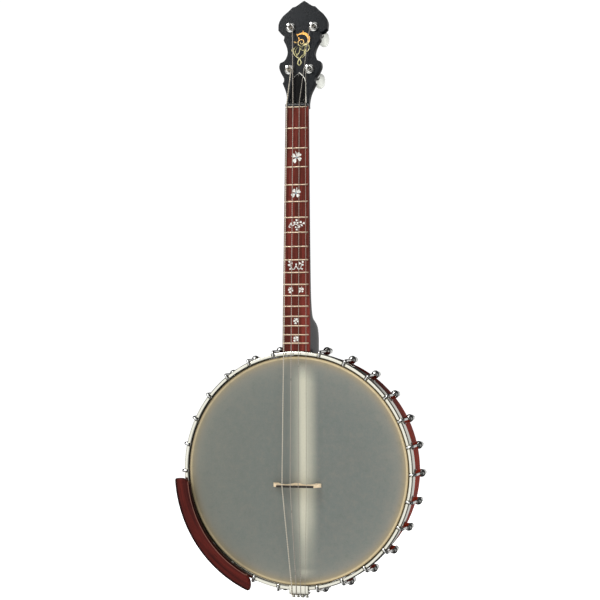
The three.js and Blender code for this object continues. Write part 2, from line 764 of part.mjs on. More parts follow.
addPart(pot, 'bridge', makeBridge(), MATERIALS.maple);
addPart(pot, 'bridge_cap', makeBridgeCap(), MATERIALS.ebony);
addPart(pot, 'tailpiece', makeTailpiece(), MATERIALS.chrome);
STRING_DIAMETERS.forEach((_, index) => {
  addPart(pot, `string_${index + 1}`, makeString(index), MATERIALS.stringMetal);
});

addPart(pot, 'armrest', makeArmrest(), MATERIALS.rimWood);
ARMREST_BRACKETS.forEach((steps, index) => {
  const name = `armrest_bracket_${index + 1}`;
  const angle = -(FIRST_BRACKET + steps * BRACKET_STEP);
  addPart(pot, name, makeArmrestBracket(), MATERIALS.chrome).rotation.y = angle;
});

export default banjo;
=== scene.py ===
"""The looks of a four-string cello banjo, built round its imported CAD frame.

Shapes are drawn in millimetres in the frame of what they belong to: the pot, the neck, the headstock, a
tension bracket or a tuner. +Z runs along the neck or out from the pot's axis, and +Y runs from the front of
the banjo to its back.
"""

from math import ceil, copysign, cos, pi, radians, sin, sqrt, tan
from types import SimpleNamespace as Sizes

import bmesh
import bpy
from mathutils import Matrix, Vector


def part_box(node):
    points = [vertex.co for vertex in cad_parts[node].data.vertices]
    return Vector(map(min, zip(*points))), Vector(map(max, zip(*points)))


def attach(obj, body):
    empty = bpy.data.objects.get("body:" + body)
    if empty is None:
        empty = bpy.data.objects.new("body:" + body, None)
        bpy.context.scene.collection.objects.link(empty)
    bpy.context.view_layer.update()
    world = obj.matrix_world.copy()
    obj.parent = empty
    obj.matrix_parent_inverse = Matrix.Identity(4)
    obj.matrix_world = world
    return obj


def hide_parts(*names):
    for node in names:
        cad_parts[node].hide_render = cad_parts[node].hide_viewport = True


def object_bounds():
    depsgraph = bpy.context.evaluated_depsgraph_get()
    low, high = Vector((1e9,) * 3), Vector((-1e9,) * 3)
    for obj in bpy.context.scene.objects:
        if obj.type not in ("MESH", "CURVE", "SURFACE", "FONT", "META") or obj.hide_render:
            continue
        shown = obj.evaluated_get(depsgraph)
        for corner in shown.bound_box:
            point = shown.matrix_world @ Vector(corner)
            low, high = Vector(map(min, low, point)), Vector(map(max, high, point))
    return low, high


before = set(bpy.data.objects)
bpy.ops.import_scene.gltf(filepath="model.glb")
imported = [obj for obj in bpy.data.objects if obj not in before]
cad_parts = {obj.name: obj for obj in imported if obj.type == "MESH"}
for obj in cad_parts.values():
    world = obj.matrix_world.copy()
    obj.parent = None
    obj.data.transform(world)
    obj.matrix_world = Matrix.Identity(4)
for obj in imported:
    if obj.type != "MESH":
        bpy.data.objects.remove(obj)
CAD_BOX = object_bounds()
MM = 0.001
FULL_TURN = 2 * pi

# ------------------------------------------------------------------ dimensions, as in the CAD part

RIM = Sizes(outer=178.4, inner=165.7, front=7.2, back=72)
TONE_RING = Sizes(radius=174.3, tube=3.1, depth=3.8)
HEAD = Sizes(radius=178.4, film=0.4, collar=6.8)
FLESH_HOOP = Sizes(inner=178.8, outer=182.4, front=3.3, back=8.3)
HOOP = Sizes(inner=179.4, outer=185.3, front=-3.5, back=12.5, skirt=182.8, ledge=3.0)
BRACKETS_PER_SIDE = 13
FIRST_BRACKET = radians(11.7)
BRACKET_STEP = radians(13.2)
HOOK = Sizes(rod=2.3, shaft=188.2, tip=180.6, crown=-2.6, bend=2.8)
NOTCH = Sizes(width=5.4, depth=3.5)
SHOE = Sizes(radius=6.2, base=178.8, top=195, depth=38)
HOOK_NUT = Sizes(radius=4.6, back=57)
SHOE_BOLT = Sizes(head=4.4, inner=161, seat=164.6)

SCALE_LENGTH = 587.4
FRET_COUNT = 17
NECK_START = Vector((0, HOOP.front, HOOP.outer + 0.6))
NECK_BACK_ANGLE = radians(1.9)
FRETBOARD = Sizes(length=380.8, thickness=6, pot_half=21.9, nut_half=18)
ZERO_FRET = Sizes(along=379.2, height=1.5)
NUT = Sizes(length=3.8, proud=1.5)
HEADSTOCK_ANGLE = radians(11.4)
HEADSTOCK = Sizes(start=379.6, drop=4.2, thickness=13, overlay=1.6)
TUNER_PLACES = [(16.4, 61.8), (18.9, 131.8), (-18.9, 131.8), (-16.4, 61.8)]
KNOB = Sizes(half_width=8.2, half_length=11.8, front=41.6, back=65)

STRING_DIAMETERS = [0.7, 0.9, 1.2, 1.6]
STRING_SPREAD = dict(nut=30.4, bridge=39.2, tailpiece=21.6)
WINDING = Sizes(radius=3.6, along=-7.1)
BRIDGE = Sizes(height=16, cap=2.9, foot_half=38.6, cap_half=30, thickness=6, cap_thickness=3.2)
BRIDGE_PLACE = NECK_START.z + ZERO_FRET.along - SCALE_LENGTH - 1
RODS = Sizes(upper=25, lower=50, radius=4.8, bolt=3)
TAILPIECE = Sizes(half_width=15.5, plate=2.2, front=-6.6, inner=177.3, outer=191, back=34, shift=2.6)
KNOB_POSTS = Sizes(radius=2.1, head=2.8, depth=4, end=197)
ARMREST = Sizes(inner=174, outer=197.6, front=-15.4, thickness=8.6, start=182.5, sweep=64.6, drop=5.6)
ARMREST_BRACKETS = [7.5, 9.5]

# ------------------------------------------------------------------ frames

rim_low, rim_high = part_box("rim")
POT_CENTRE = Vector(((rim_low.x + rim_high.x) / 2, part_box("drum_head")[0].y, (rim_low.z + rim_high.z) / 2))
POT = Matrix.Translation(POT_CENTRE)
NECK = POT @ Matrix.Translation(NECK_START * MM) @ Matrix.Rotation(-NECK_BACK_ANGLE, 4, "X")
NUT_CORNER = Vector((0, HEADSTOCK.drop, HEADSTOCK.start)) * MM
HEADSTOCK_FRAME = NECK @ Matrix.Translation(NUT_CORNER) @ Matrix.Rotation(-HEADSTOCK_ANGLE, 4, "X")


def circle(count):
    """Evenly spaced angles."""
    return [FULL_TURN * k / count for k in range(count)]


def around_pot(angle):
    """The frame whose +Z points out from the pot's axis, at this angle clockwise from the neck."""
    return POT @ Matrix.Rotation(angle, 4, "Y")


def in_pot(matrix, point):
    """A point in millimetres of a frame, in millimetres of the pot's frame."""
    return POT.inverted() @ (matrix @ (Vector(point) * MM)) / MM


def tuner_frame(index):
    x, along = TUNER_PLACES[index]
    return HEADSTOCK_FRAME @ Matrix.Translation(Vector((x, 0, along)) * MM)


# ------------------------------------------------------------------ shapes

def loft(rings, closed_along=False, caps=True):
    """Quads between rings of points that have the same number of points."""
    size = len(rings[0])
    points = [Vector(p) for ring in rings for p in ring]
    faces = []
    for i in range(len(rings) if closed_along else len(rings) - 1):
        low, high = i * size, (i + 1) % len(rings) * size
        for k in range(size):
            after = (k + 1) % size
            faces.append((low + k, low + after, high + after, high + k))
    if caps and not closed_along:
        faces.append(tuple(range(size)))
        faces.append(tuple(range(len(points) - size, len(points))))
    return points, faces


def turning(profile, segments, closed=False, caps=False):
    """A solid of revolution about Y from a profile of (radius, depth)."""
    angles = circle(segments)
    rings = [[(radius * sin(a), depth, radius * cos(a)) for a in angles] for radius, depth in profile]
    return loft(rings, closed_along=closed, caps=caps)


def moved(shape, matrix):
    points, faces = shape
    return [matrix @ p for p in points], faces


def shifted(shape, x=0, y=0, z=0):
    return moved(shape, Matrix.Translation((x, y, z)))


def disc(radius, front, back, segments, edge=0.0):
    """A short cylinder along Y, whose edges may be rounded."""
    profile = [(0, front), (radius, front), (radius, back), (0, back)]
    return turning(rounded(profile, edge) if edge else profile, segments)


def radial(shape):
    """A turning laid along +Z, so that its depths become distances from the pot's axis."""
    return moved(shape, Matrix.Rotation(pi / 2, 4, "X"))


def bend(start, corner, end, steps):
    """A curve that leaves for a corner and arrives from it."""
    return [start.lerp(corner, t).lerp(corner.lerp(end, t), t) for t in shares(steps)]


def rounded(corners, radius, steps=3, closed=False):
    """An outline with each corner replaced by a short curve."""
    points = []
    for i, corner in enumerate(corners):
        here = Vector(corner)
        if not closed and i in (0, len(corners) - 1):
            points.append(here)
            continue
        before = Vector(corners[i - 1]) - here
        after = Vector(corners[(i + 1) % len(corners)]) - here
        reach = min(radius, before.length * 0.48, after.length * 0.48)
        start, end = here + before.normalized() * reach, here + after.normalized() * reach
        points += bend(start, here, end, steps)
    return points


def spline(points, steps):
    """A smooth curve through points (Catmull-Rom)."""
    path = [Vector(p) for p in points]
    path = [2 * path[0] - path[1], *path, 2 * path[-1] - path[-2]]
    curve = []
    for a, b, c, d in zip(path, path[1:], path[2:], path[3:]):
        for k in range(steps):
            t = k / steps
            curve.append(0.5 * (2 * b + (c - a) * t + (2 * a - 5 * b + 4 * c - d) * t**2
                                + (3 * b - a - 3 * c + d) * t**3))
    return [*curve, path[-2]]


def inset(outline, distance):
    """An outline of (x, z) points with each point moved inwards."""
    count = len(outline)
    area = sum(a[0] * b[1] - b[0] * a[1] for a, b in zip(outline, [*outline[1:], outline[0]]))
    inwards = 1 if area > 0 else -1
    result = []
    for i, point in enumerate(outline):
        here = Vector(point)
        arriving = (here - Vector(outline[i - 1])).normalized()
        leaving = (Vector(outline[(i + 1) % count]) - here).normalized()
        tangent = (arriving + leaving).normalized()
        normal = Vector((-tangent.y, tangent.x)) * inwards
        result.append(here + normal * distance / max(arriving.dot(tangent), 0.6))
    for _ in range(8):
        for i in range(count):
            after = (i + 1) % count
            side = Vector(outline[after]) - Vector(outline[i])
            if (result[after] - result[i]).dot(side) < 0:
                result[i] = result[after] = (result[i] + result[after]) / 2
    return result


def slab(outline, front, back, front_edge, back_edge, steps):
    """A plate of the outline of (x, z) points, with rounded edges at its front and back."""
    margin = 0.3

    def ring(distance, depth):
        return [(x, depth, z) for x, z in inset(outline, distance)]

    def edge(face, size):
        """Rings from the face outwards, where a negative size leads towards the front."""
        rings = [ring(abs(size) + margin, face)]
        for k in range(steps + 1):
            turn = pi / 2 * k / steps
            rings.append(ring(abs(size) * (1 - sin(turn)), face + size * (1 - cos(turn))))
        return rings

    return loft([*edge(front, front_edge), *reversed(edge(back, -back_edge))])


def shares(steps):
    """0 to 1 in even steps."""
    return [k / steps for k in range(steps + 1)]


def tangents(path, closed=False):
    """The points of a path as vectors, each with the path's direction there."""
    path = [Vector(p) for p in path]
    last = len(path) - 1
    for i, here in enumerate(path):
        before = path[i - 1] if closed or i else here
        after = path[(i + 1) % len(path)] if closed or i < last else here
        yield here, (after - before).normalized()


def tube(path, radius, sides, closed=False):
    """A round rod along a path."""
    rings = []
    across = None
    for here, tangent in tangents(path, closed):
        across = across or tangent.orthogonal()
        across = (across - across.dot(tangent) * tangent).normalized()
        up = tangent.cross(across)
        rings.append([here + radius * (cos(a) * across + sin(a) * up) for a in circle(sides)])
    return loft(rings, closed_along=closed)


def strap(path, width, sheet):
    """A flat strip, width wide along X, bent along a path of (depth, distance)."""
    half, corner = width / 2, sheet * 0.3
    section = [(-half + corner, 1), (half - corner, 1), (half, 0.4), (half, -0.4),
               (half - corner, -1), (-half + corner, -1), (-half, -0.4), (-half, 0.4)]
    rings = []
    for here, tangent in tangents(path):
        normal = Vector((-tangent.y, tangent.x)) * sheet / 2
        rings.append([(x, *(here + normal * side)) for x, side in section])
    return loft(rings)


def ribbon(path, width, front, back, taper=0.15):
    """A thin inlay that follows a path of (x, z) points and narrows towards both ends."""
    left, right = [], []
    for i, (here, tangent) in enumerate(tangents(path)):
        swell = taper + (1 - taper) * sin(pi * (i + 0.5) / len(path))
        reach = Vector((-tangent.y, tangent.x)) * width / 2 * swell
        left.append(here + reach)
        right.append(here - reach)
    points = [*left, *reversed(right)]
    return loft([[(x, front, z) for x, z in points], [(x, back, z) for x, z in points]])


# ------------------------------------------------------------------ objects

CREASE = radians(32)  # edges that bend by more than this look sharp


def make(name, shapes, place, material, body="banjo", replaces=()):
    """One piece made of shapes in millimetres, in the frame of `place`, that rides on a body."""
    mesh = bpy.data.meshes.new(name)
    points, faces = [], []
    for shape_points, shape_faces in shapes:
        first = len(points)
        points += [p * MM for p in shape_points]
        faces += [tuple(first + i for i in face) for face in shape_faces]
    mesh.from_pydata(points, [], faces)
    cleaner = bmesh.new()
    cleaner.from_mesh(mesh)
    bmesh.ops.remove_doubles(cleaner, verts=cleaner.verts, dist=2e-6)
    bmesh.ops.recalc_face_normals(cleaner, faces=cleaner.faces)
    cleaner.to_mesh(mesh)
    cleaner.free()
    mesh.shade_smooth()
    mesh.set_sharp_from_angle(angle=CREASE)
    mesh.materials.append(material)
    return placed(name, mesh, place, body, replaces)


def shown(name, data):
    item = bpy.data.objects.new(name, data)
    bpy.context.scene.collection.objects.link(item)
    return item


def placed(name, mesh, place, body="banjo", replaces=()):
    """An object that shows a mesh at a place, and rides on a body."""
    piece = shown(name, mesh)
    piece.matrix_world = place
    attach(piece, body)
    if replaces:
        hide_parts(*replaces)
    return piece


# ------------------------------------------------------------------ materials

def rgb(red, green, blue):
    """A colour given as it looks on a screen, 0 to 255, in the linear values that shaders take."""
    levels = (c / 255 for c in (red, green, blue))
    return tuple(((c + 0.055) / 1.055) ** 2.4 if c > 0.04 else c / 12.92 for c in levels)


def shade(colour, share):
    return tuple(c * share for c in colour)


def add_node(tree, kind, inputs=None, **settings):
    """A shader node with its settings, and a value or a link for each input named."""
    made = tree.nodes.new("ShaderNode" + kind)
    for key, value in settings.items():
        setattr(made, key, value)
    for key, value in (inputs or {}).items():
        if isinstance(value, bpy.types.NodeSocket):
            tree.links.new(value, made.inputs[key])
        else:
            made.inputs[key].default_value = value
    return made


# Places of the colour sockets of a Mix node
MIX_A, MIX_B, MIX_RESULT = 6, 7, 2


class Finish:
    """A material under construction: its node tree, with short calls for the nodes it uses."""

    def __init__(self, name, **surface):
        self.material = bpy.data.materials.new(name)
        self.material.use_nodes = True
        self.tree = self.material.node_tree
        self.shader = self.tree.nodes["Principled BSDF"]
        for socket, value in surface.items():
            self.set(socket.replace("_", " "), value)
        self.position = self.node("TexCoord").outputs["Object"]

    def set(self, socket, value):
        if isinstance(value, tuple) and len(value) == 3:
            value = (*value, 1)
        self.shader.inputs[socket].default_value = value

    def node(self, kind, inputs=None, **settings):
        return add_node(self.tree, kind, inputs, **settings)

    def axes(self):
        split = self.node("SeparateXYZ", {"Vector": self.position})
        return [split.outputs[axis] for axis in "XYZ"]

    def scaled(self, x, y, z):
        """The position with each axis stretched, which lengthens a texture along the small ones."""
        inputs = {"Vector": self.position, "Scale": (x, y, z)}
        return self.node("Mapping", inputs).outputs["Vector"]

    def noise(self, scale, detail=3, vector=None, roughness=0.55, distortion=0.0):
        inputs = {"Vector": vector or self.position, "Scale": scale, "Detail": detail,
                  "Roughness": roughness, "Distortion": distortion}
        return self.node("TexNoise", inputs).outputs["Fac"]

    def math(self, operation, a, b=0.0):
        return self.node("Math", {0: a, 1: b}, operation=operation).outputs[0]

    def distance(self, a, b=0.0):
        return self.math("ABSOLUTE", self.math("SUBTRACT", a, b))

    def ramp(self, value, stops):
        """Colours along a value. The stops are (place, colour)."""
        ramp = self.node("ValToRGB", {"Fac": value})
        elements = ramp.color_ramp.elements
        while len(elements) < len(stops):
            elements.new(0.5)
        for element, (place, colour) in zip(elements, stops):
            element.position = place
            element.color = (*colour, 1)
        return ramp.outputs["Color"]

    def levels(self, value, low, high, to_low, to_high, shape="LINEAR"):
        inputs = {"Value": value, "From Min": low, "From Max": high, "To Min": to_low, "To Max": to_high}
        return self.node("MapRange", inputs, interpolation_type=shape).outputs["Result"]

    def eased(self, *limits):
        """Like levels, with a soft start and end."""
        return self.levels(*limits, "SMOOTHSTEP")

    def hypotenuse(self, a, b):
        squares = self.math("ADD", self.math("MULTIPLY", a, a), self.math("MULTIPLY", b, b))
        return self.math("SQRT", squares)

    def painted_rod_light(self, z):
        """How brightly the painted light of the rods shows along their length: it fades towards the tail and
        ends in a painted glint.
        """
        fade = self.eased(z, -0.135, -0.06, 0.35, 1.0)
        glint = self.eased(self.distance(z, -0.162), 0.004, 0.012, 0.8, 0.0)
        return self.math("ADD", fade, glint)

    def mix(self, factor, a, b):
        colours = {number: colour if isinstance(colour, bpy.types.NodeSocket) else (*colour, 1)
                   for number, colour in ((MIX_A, a), (MIX_B, b))}
        return self.node("Mix", {"Factor": factor, **colours}, data_type="RGBA").outputs[MIX_RESULT]

    def done(self, colour, roughness, height, distance, strength):
        """The material, with its colour, its roughness and a bump of this height."""
        inputs = {"Height": height, "Distance": distance, "Strength": strength}
        normal = self.node("Bump", inputs).outputs["Normal"]
        for socket, source in (("Base Color", colour), ("Roughness", roughness), ("Normal", normal)):
            self.tree.links.new(source, self.shader.inputs[socket])
        return self.material


def plated_metal(name, tint, smooth, dull):
    """Plating with faint smears and hairline scratches."""
    finish = Finish(name, Metallic=1.0)
    smears = finish.noise(90, 4)
    colour = finish.ramp(smears, [(0.3, shade(tint, 0.93)), (0.7, tint)])
    roughness = finish.levels(smears, 0.35, 0.75, smooth, dull)
    return finish.done(colour, roughness, finish.noise(1400, 2, finish.scaled(1, 1, 0.12)), 0.00001, 0.25)


def painted_shade_at_ends(finish, stain_and_shade, dark):
    """Painted shade: the wood is darker towards the neck and the tail."""
    painted_shade_share = finish.eased(finish.distance(finish.axes()[2]), 0.05, 0.15, 0.0, 0.75)
    return finish.mix(painted_shade_share, stain_and_shade, shade(dark, 0.3))


def painted_edge_shade_and_highlight(finish, stain_and_shade, dark):
    """Painted shade darkens the armrest's outer and inner edges, and a pale line beside the inner one is a
    painted highlight.
    """
    x, _, z = finish.axes()
    reach = finish.hypotenuse(x, finish.math("ADD", z, ARMREST.drop * MM))
    # Painted shade at the outer edge, then at the inner edge
    stain_and_shade = finish.mix(finish.eased(reach, 0.1915, 0.196, 0.0, 0.92), stain_and_shade, shade(dark, 0.12))
    stain_and_shade = finish.mix(finish.eased(reach, 0.1748, 0.1764, 0.85, 0.0), stain_and_shade, shade(dark, 0.2))
    # A painted highlight along the rounded inner edge
    line = finish.eased(finish.distance(reach, 0.1761), 0.0002, 0.0007, 0.4, 0.0)
    return finish.mix(line, stain_and_shade, rgb(160, 124, 108))


def lacquered_wood(name, dark, light, coat, shine, add_painted_shade):
    """Stained wood under clear lacquer, with its figure bent round the pot, and with painted shade laid over
    it by the given function.
    """
    finish = Finish(name, Coat_Weight=coat, Coat_Roughness=0.06, Specular_IOR_Level=shine)
    x, y, z = finish.axes()
    along = finish.math("MULTIPLY", finish.math("ARCTAN2", x, z), 0.012)
    vector = finish.node("CombineXYZ", {"X": along, "Y": y, "Z": finish.hypotenuse(x, z)}).outputs[0]
    figure = finish.noise(170, 6, vector, 0.65, 0.4)
    pores = finish.noise(900, 2, vector, 0.5)
    cloud = finish.noise(16, 2)
    medium = tuple((a + b) / 2 for a, b in zip(dark, light))
    figured = finish.ramp(figure, [(0.28, dark), (0.5, medium), (0.75, light)])
    clouded = finish.mix(finish.levels(cloud, 0.3, 0.7, 0.0, 0.45), figured, dark)
    # Painted shade, laid over the stained wood by the given function
    stain_and_shade = add_painted_shade(finish, clouded, dark)
    colour = finish.mix(finish.levels(pores, 0.62, 0.72, 0.0, 0.6), stain_and_shade, shade(dark, 0.35))
    roughness = finish.levels(figure, 0.3, 0.8, 0.32, 0.5)
    return finish.done(colour, roughness, finish.noise(220, 2), 0.00004, 0.25)


def black_lacquer(name, base, coat, coat_roughness=0.04):
    """Thick black lacquer with a slight orange peel and dust-fine haze."""
    finish = Finish(name, Coat_Weight=coat, Coat_Roughness=coat_roughness, Specular_IOR_Level=0.08)
    cloud = finish.noise(24, 3)
    colour = finish.ramp(cloud, [(0.35, shade(base, 0.7)), (0.7, base)])
    roughness = finish.levels(finish.noise(300, 3), 0.3, 0.8, 0.16, 0.3)
    return finish.done(colour, roughness, finish.noise(190, 2), 0.00005, 0.22)


def rosewood(name):
    """Oiled reddish-brown wood with dark streaks and open pores along the neck."""
    finish = Finish(name, Specular_IOR_Level=0.12)
    streaks = finish.noise(150, 7, finish.scaled(1, 1, 0.045), 0.7, 0.6)
    bands = finish.noise(42, 3, finish.scaled(1, 1, 0.09), 0.5, 0.8)
    pores = finish.noise(1300, 2, finish.scaled(1, 1, 0.05), 0.5)
    wood = finish.ramp(streaks, [(0.27, rgb(52, 20, 11)), (0.44, rgb(88, 34, 25)), (0.6, rgb(116, 44, 36)),
                                 (0.8, rgb(142, 68, 50))])
    wood = finish.mix(finish.levels(bands, 0.4, 0.62, 0.0, 0.75), wood, rgb(60, 28, 18))
    colour = finish.mix(finish.levels(pores, 0.58, 0.68, 0.0, 0.75), wood, rgb(34, 12, 8))
    roughness = finish.levels(streaks, 0.3, 0.8, 0.62, 0.42)
    return finish.done(colour, roughness, pores, 0.00009, 0.5)


def bare_wood(name, dark, light, rough):
    """Unlacquered wood with its grain along X."""
    finish = Finish(name)
    along = finish.scaled(0.06, 1, 1)
    grain = finish.noise(260, 6, along, 0.62, 0.5)
    flecks = finish.noise(1500, 2, along, 0.5)
    wood = finish.ramp(grain, [(0.3, dark), (0.7, light)])
    colour = finish.mix(finish.levels(flecks, 0.62, 0.72, 0.0, 0.4), wood, shade(dark, 0.6))
    roughness = finish.levels(grain, 0.3, 0.8, rough, rough + 0.15)
    return finish.done(colour, roughness, flecks, 0.00005, 0.4)


def pearl(name, scale, tones):
    """Shell or pearl plastic: wavy layers whose tone changes with depth and place."""
    finish = Finish(name, Coat_Weight=1.0, Coat_Roughness=0.06, Sheen_Weight=0.1)
    warp = finish.noise(scale, 3, None, 0.6, 1.6)
    layers = finish.noise(scale * 2.6, 5, None, 0.7, 2.4)
    tone = finish.math("ADD", finish.math("MULTIPLY", warp, 0.55), finish.math("MULTIPLY", layers, 0.45))
    colour = finish.ramp(tone, tones)
    roughness = finish.levels(layers, 0.3, 0.7, 0.18, 0.34)
    return finish.done(colour, roughness, layers, 0.00004, 0.2)


def gold_leaf(name):
    """Gold leaf, paler and greener in the lower part of the headstock."""
    finish = Finish(name, Metallic=0.55, Coat_Weight=0.7, Coat_Roughness=0.08)
    tone = finish.noise(170, 4, None, 0.6, 1.2)
    warm = finish.ramp(tone, [(0.34, rgb(150, 100, 36)), (0.5, rgb(196, 140, 56)), (0.66, rgb(222, 168, 78))])
    pale = finish.ramp(tone, [(0.34, rgb(84, 80, 46)), (0.5, rgb(150, 142, 92)), (0.66, rgb(190, 184, 142))])
    colour = finish.mix(finish.eased(finish.axes()[2], 0.1, 0.116, 0.0, 1.0), pale, warm)
    roughness = finish.levels(tone, 0.3, 0.7, 0.28, 0.45)
    return finish.done(colour, roughness, tone, 0.00004, 0.4)


def moulded_plastic(name, base, rough, coat=0.0, shine=0.25):
    finish = Finish(name, Coat_Weight=coat, Coat_Roughness=0.08, Specular_IOR_Level=shine)
    mottle = finish.noise(400, 3)
    colour = finish.ramp(mottle, [(0.35, shade(base, 0.85)), (0.7, base)])
    roughness = finish.levels(mottle, 0.3, 0.8, rough, rough + 0.1)
    return finish.done(colour, roughness, finish.noise(900, 2), 0.00003, 0.3)


def wound_string(name, pitch, tint):
    """Round wire wound on a core: fine ridges across the string, with painted shade in the grooves between
    them.
    """
    finish = Finish(name, Metallic=0.35, Specular_IOR_Level=0.3)
    scale = 0.0314 / (pitch * MM)
    inputs = {"Vector": finish.position, "Scale": scale, "Distortion": 0.3, "Detail": 1.0}
    ridges = finish.node("TexWave", inputs, bands_direction="Z").outputs["Fac"]
    smears = finish.noise(60, 3)
    # Painted shade: the colour darkens in the grooves between the turns
    colour = finish.ramp(ridges, [(0.0, shade(tint, 0.6)), (0.5, tint)])
    roughness = finish.levels(smears, 0.3, 0.8, 0.26, 0.4)
    return finish.done(colour, roughness, ridges, 0.00012, 0.8)


# Painted light of the two rods behind the film, as soft lighter bands: (distance from the middle, half width
# of the core, where it has faded out, strength)
PAINTED_ROD_BANDS = [(10.2, 2.2, 8.5, 0.5), (15, 3, 22, 0.44), (4, 4, 22, 0.2)]

# Tones of the film by distance from the pot's axis, in metres. It grows lighter towards the rim. The pale
# ring where the tone ring and the rim stand behind the film is painted light showing through, and the dark
# line at the very edge is painted shade under the hoop's inner edge
HEAD_TONES_AND_PAINTED_RINGS = [
    (0.100, rgb(104, 108, 103)),
    (0.146, rgb(111, 114, 108)),
    (0.160, rgb(119, 120, 112)),
    (0.1655, rgb(127, 124, 113)),
    (0.1705, rgb(138, 129, 108)),
    (0.1731, rgb(150, 136, 108)),
    (0.1744, rgb(198, 182, 144)),
    (0.1762, rgb(192, 172, 132)),
    (0.1773, rgb(104, 88, 56)),
    (0.1780, rgb(60, 48, 26)),
]


def head_film(name):
    """Frosted film. The rim, the tone ring and the rods behind it show through as painted light; its edge and
    its left side are painted darker, as painted shade.
    """
    finish = Finish(name, Specular_IOR_Level=0.3)
    x, _, z = finish.axes()
    radius = finish.hypotenuse(x, z)
    first, last = HEAD_TONES_AND_PAINTED_RINGS[0][0], HEAD_TONES_AND_PAINTED_RINGS[-1][0]
    stops = [((place - first) / (last - first), tone) for place, tone in HEAD_TONES_AND_PAINTED_RINGS]
    # The film's tones by radius, with painted light where the rim and the tone ring are behind it and painted
    # shade at its edge
    film = finish.ramp(finish.levels(radius, first, last, 0.0, 1.0), stops)
    speckle = finish.noise(430, 5, None, 0.75)
    cloud = finish.noise(22, 5, None, 0.65)
    inside = finish.levels(radius, 0.150, 0.174, 1.0, 0.0)
    patches = finish.math("MULTIPLY", finish.levels(cloud, 0.36, 0.66, 0.5, 0.0), inside)
    film = finish.mix(patches, film, rgb(100, 108, 104))
    blush = finish.noise(95, 4, None, 0.75)
    film = finish.mix(finish.levels(blush, 0.48, 0.75, 0.0, 0.3), film, rgb(134, 124, 112))
    film = finish.mix(finish.levels(blush, 0.28, 0.46, 0.4, 0.0), film, rgb(90, 100, 88))
    # Painted shade: the film is darker towards its left side
    film = finish.mix(finish.levels(x, -0.17, 0.04, 0.3, 0.0), film, rgb(92, 94, 82))
    # The rods' painted light: pale bands laid over the film, brighter towards the neck, with a painted glint
    # near the tail
    for centre, core, fade, weight in PAINTED_ROD_BANDS:
        light = finish.eased(finish.distance(x, centre * MM), core * MM, fade * MM, weight, 0.0)
        within = finish.levels(radius, 0.140, 0.168, 1.0, 0.0)
        strength = finish.math("MULTIPLY", light, within)
        film = finish.mix(finish.math("MULTIPLY", strength, finish.painted_rod_light(z)), film, rgb(206, 203, 182))
    colour = finish.mix(finish.levels(speckle, 0.3, 0.7, 0.0, 0.16), film, rgb(60, 66, 60))
    roughness = finish.levels(speckle, 0.3, 0.8, 0.5, 0.66)
    return finish.done(colour, roughness, speckle, 0.00003, 0.35)


CHROME = plated_metal("chrome", rgb(236, 236, 232), 0.05, 0.13)
HOOP_METAL = plated_metal("hoop_metal", rgb(236, 234, 220), 0.12, 0.2)
NICKEL = plated_metal("nickel", rgb(226, 220, 200), 0.16, 0.28)
FRET_METAL = plated_metal("fret_metal", rgb(250, 228, 200), 0.5, 0.6)
DARK_METAL = plated_metal("dark_metal", rgb(58, 56, 54), 0.3, 0.45)
BRASS = plated_metal("brass", rgb(214, 176, 96), 0.2, 0.35)
# The rim's wood, with painted shade towards the neck and the tail
RIM_WOOD = lacquered_wood("rim_wood", rgb(72, 14, 6), rgb(156, 50, 28), 0.0, 0.01, painted_shade_at_ends)
# The armrest's wood, with painted shade at its edges and a painted highlight beside the inner one
ARMREST_WOOD = lacquered_wood("armrest_wood", rgb(44, 12, 10), rgb(96, 32, 25), 0.04, 0.06, painted_edge_shade_and_highlight)
BLACK_LACQUER = black_lacquer("black_lacquer", rgb(5, 6, 7), 0.1)
OVERLAY_LACQUER = black_lacquer("overlay_lacquer", rgb(14, 18, 22), 0.2, 0.12)
FRETBOARD_WOOD = rosewood("fretboard_wood")
MAPLE = bare_wood("maple", rgb(220, 194, 156), rgb(244, 226, 196), 0.55)
EBONY = bare_wood("ebony", rgb(14, 11, 9), rgb(40, 32, 26), 0.4)
NUT_BLACK = moulded_plastic("nut_black", rgb(14, 13, 12), 0.3, 0.3)
KNOB_TONES = [(0.3, rgb(168, 172, 164)), (0.5, rgb(216, 217, 210)), (0.7, rgb(190, 195, 186))]
KNOB_PEARL = pearl("knob_pearl", 120, KNOB_TONES)
INLAY_TONES = [(0.32, rgb(150, 164, 156)), (0.46, rgb(240, 236, 228)), (0.58, rgb(196, 208, 202)),
               (0.7, rgb(246, 236, 230))]
INLAY_PEARL = pearl("inlay_pearl", 260, INLAY_TONES)
ABALONE_TONES = [(0.3, rgb(66, 82, 92)), (0.5, rgb(120, 142, 150)), (0.7, rgb(92, 112, 108))]
ABALONE = pearl("abalone", 320, ABALONE_TONES)
GOLD = gold_leaf("gold_leaf")
COVER_BLACK = moulded_plastic("cover_black", rgb(5, 5, 5), 0.2, shine=0.06)
# Pale plastic for the cover's edge, which stands for a painted highlight on its bevel
COVER_HIGHLIGHT = moulded_plastic("cover_highlight", rgb(236, 234, 224), 0.3, 0.3)
STRING_TINTS = [rgb(166, 160, 148), rgb(160, 154, 144), rgb(164, 156, 146), rgb(196, 188, 172)]
STRING_METALS = [wound_string(f"string_metal_{i + 1}", 0.22 + 0.05 * i, STRING_TINTS[i]) for i in range(4)]

# ------------------------------------------------------------------ pot

def band(size, radius, steps, segments):
    """A flat ring whose four edges are rounded."""
    inner, outer, front, back = size.inner, size.outer, size.front, size.back
    corners = [(inner, front), (outer, front), (outer, back), (inner, back)]
    return turning(rounded(corners, radius, steps, closed=True), segments, closed=True)


def make_rim():
    make("rim_wood_ring", [band(RIM, 1.6, 4, 180)], POT, RIM_WOOD, replaces=["rim"])


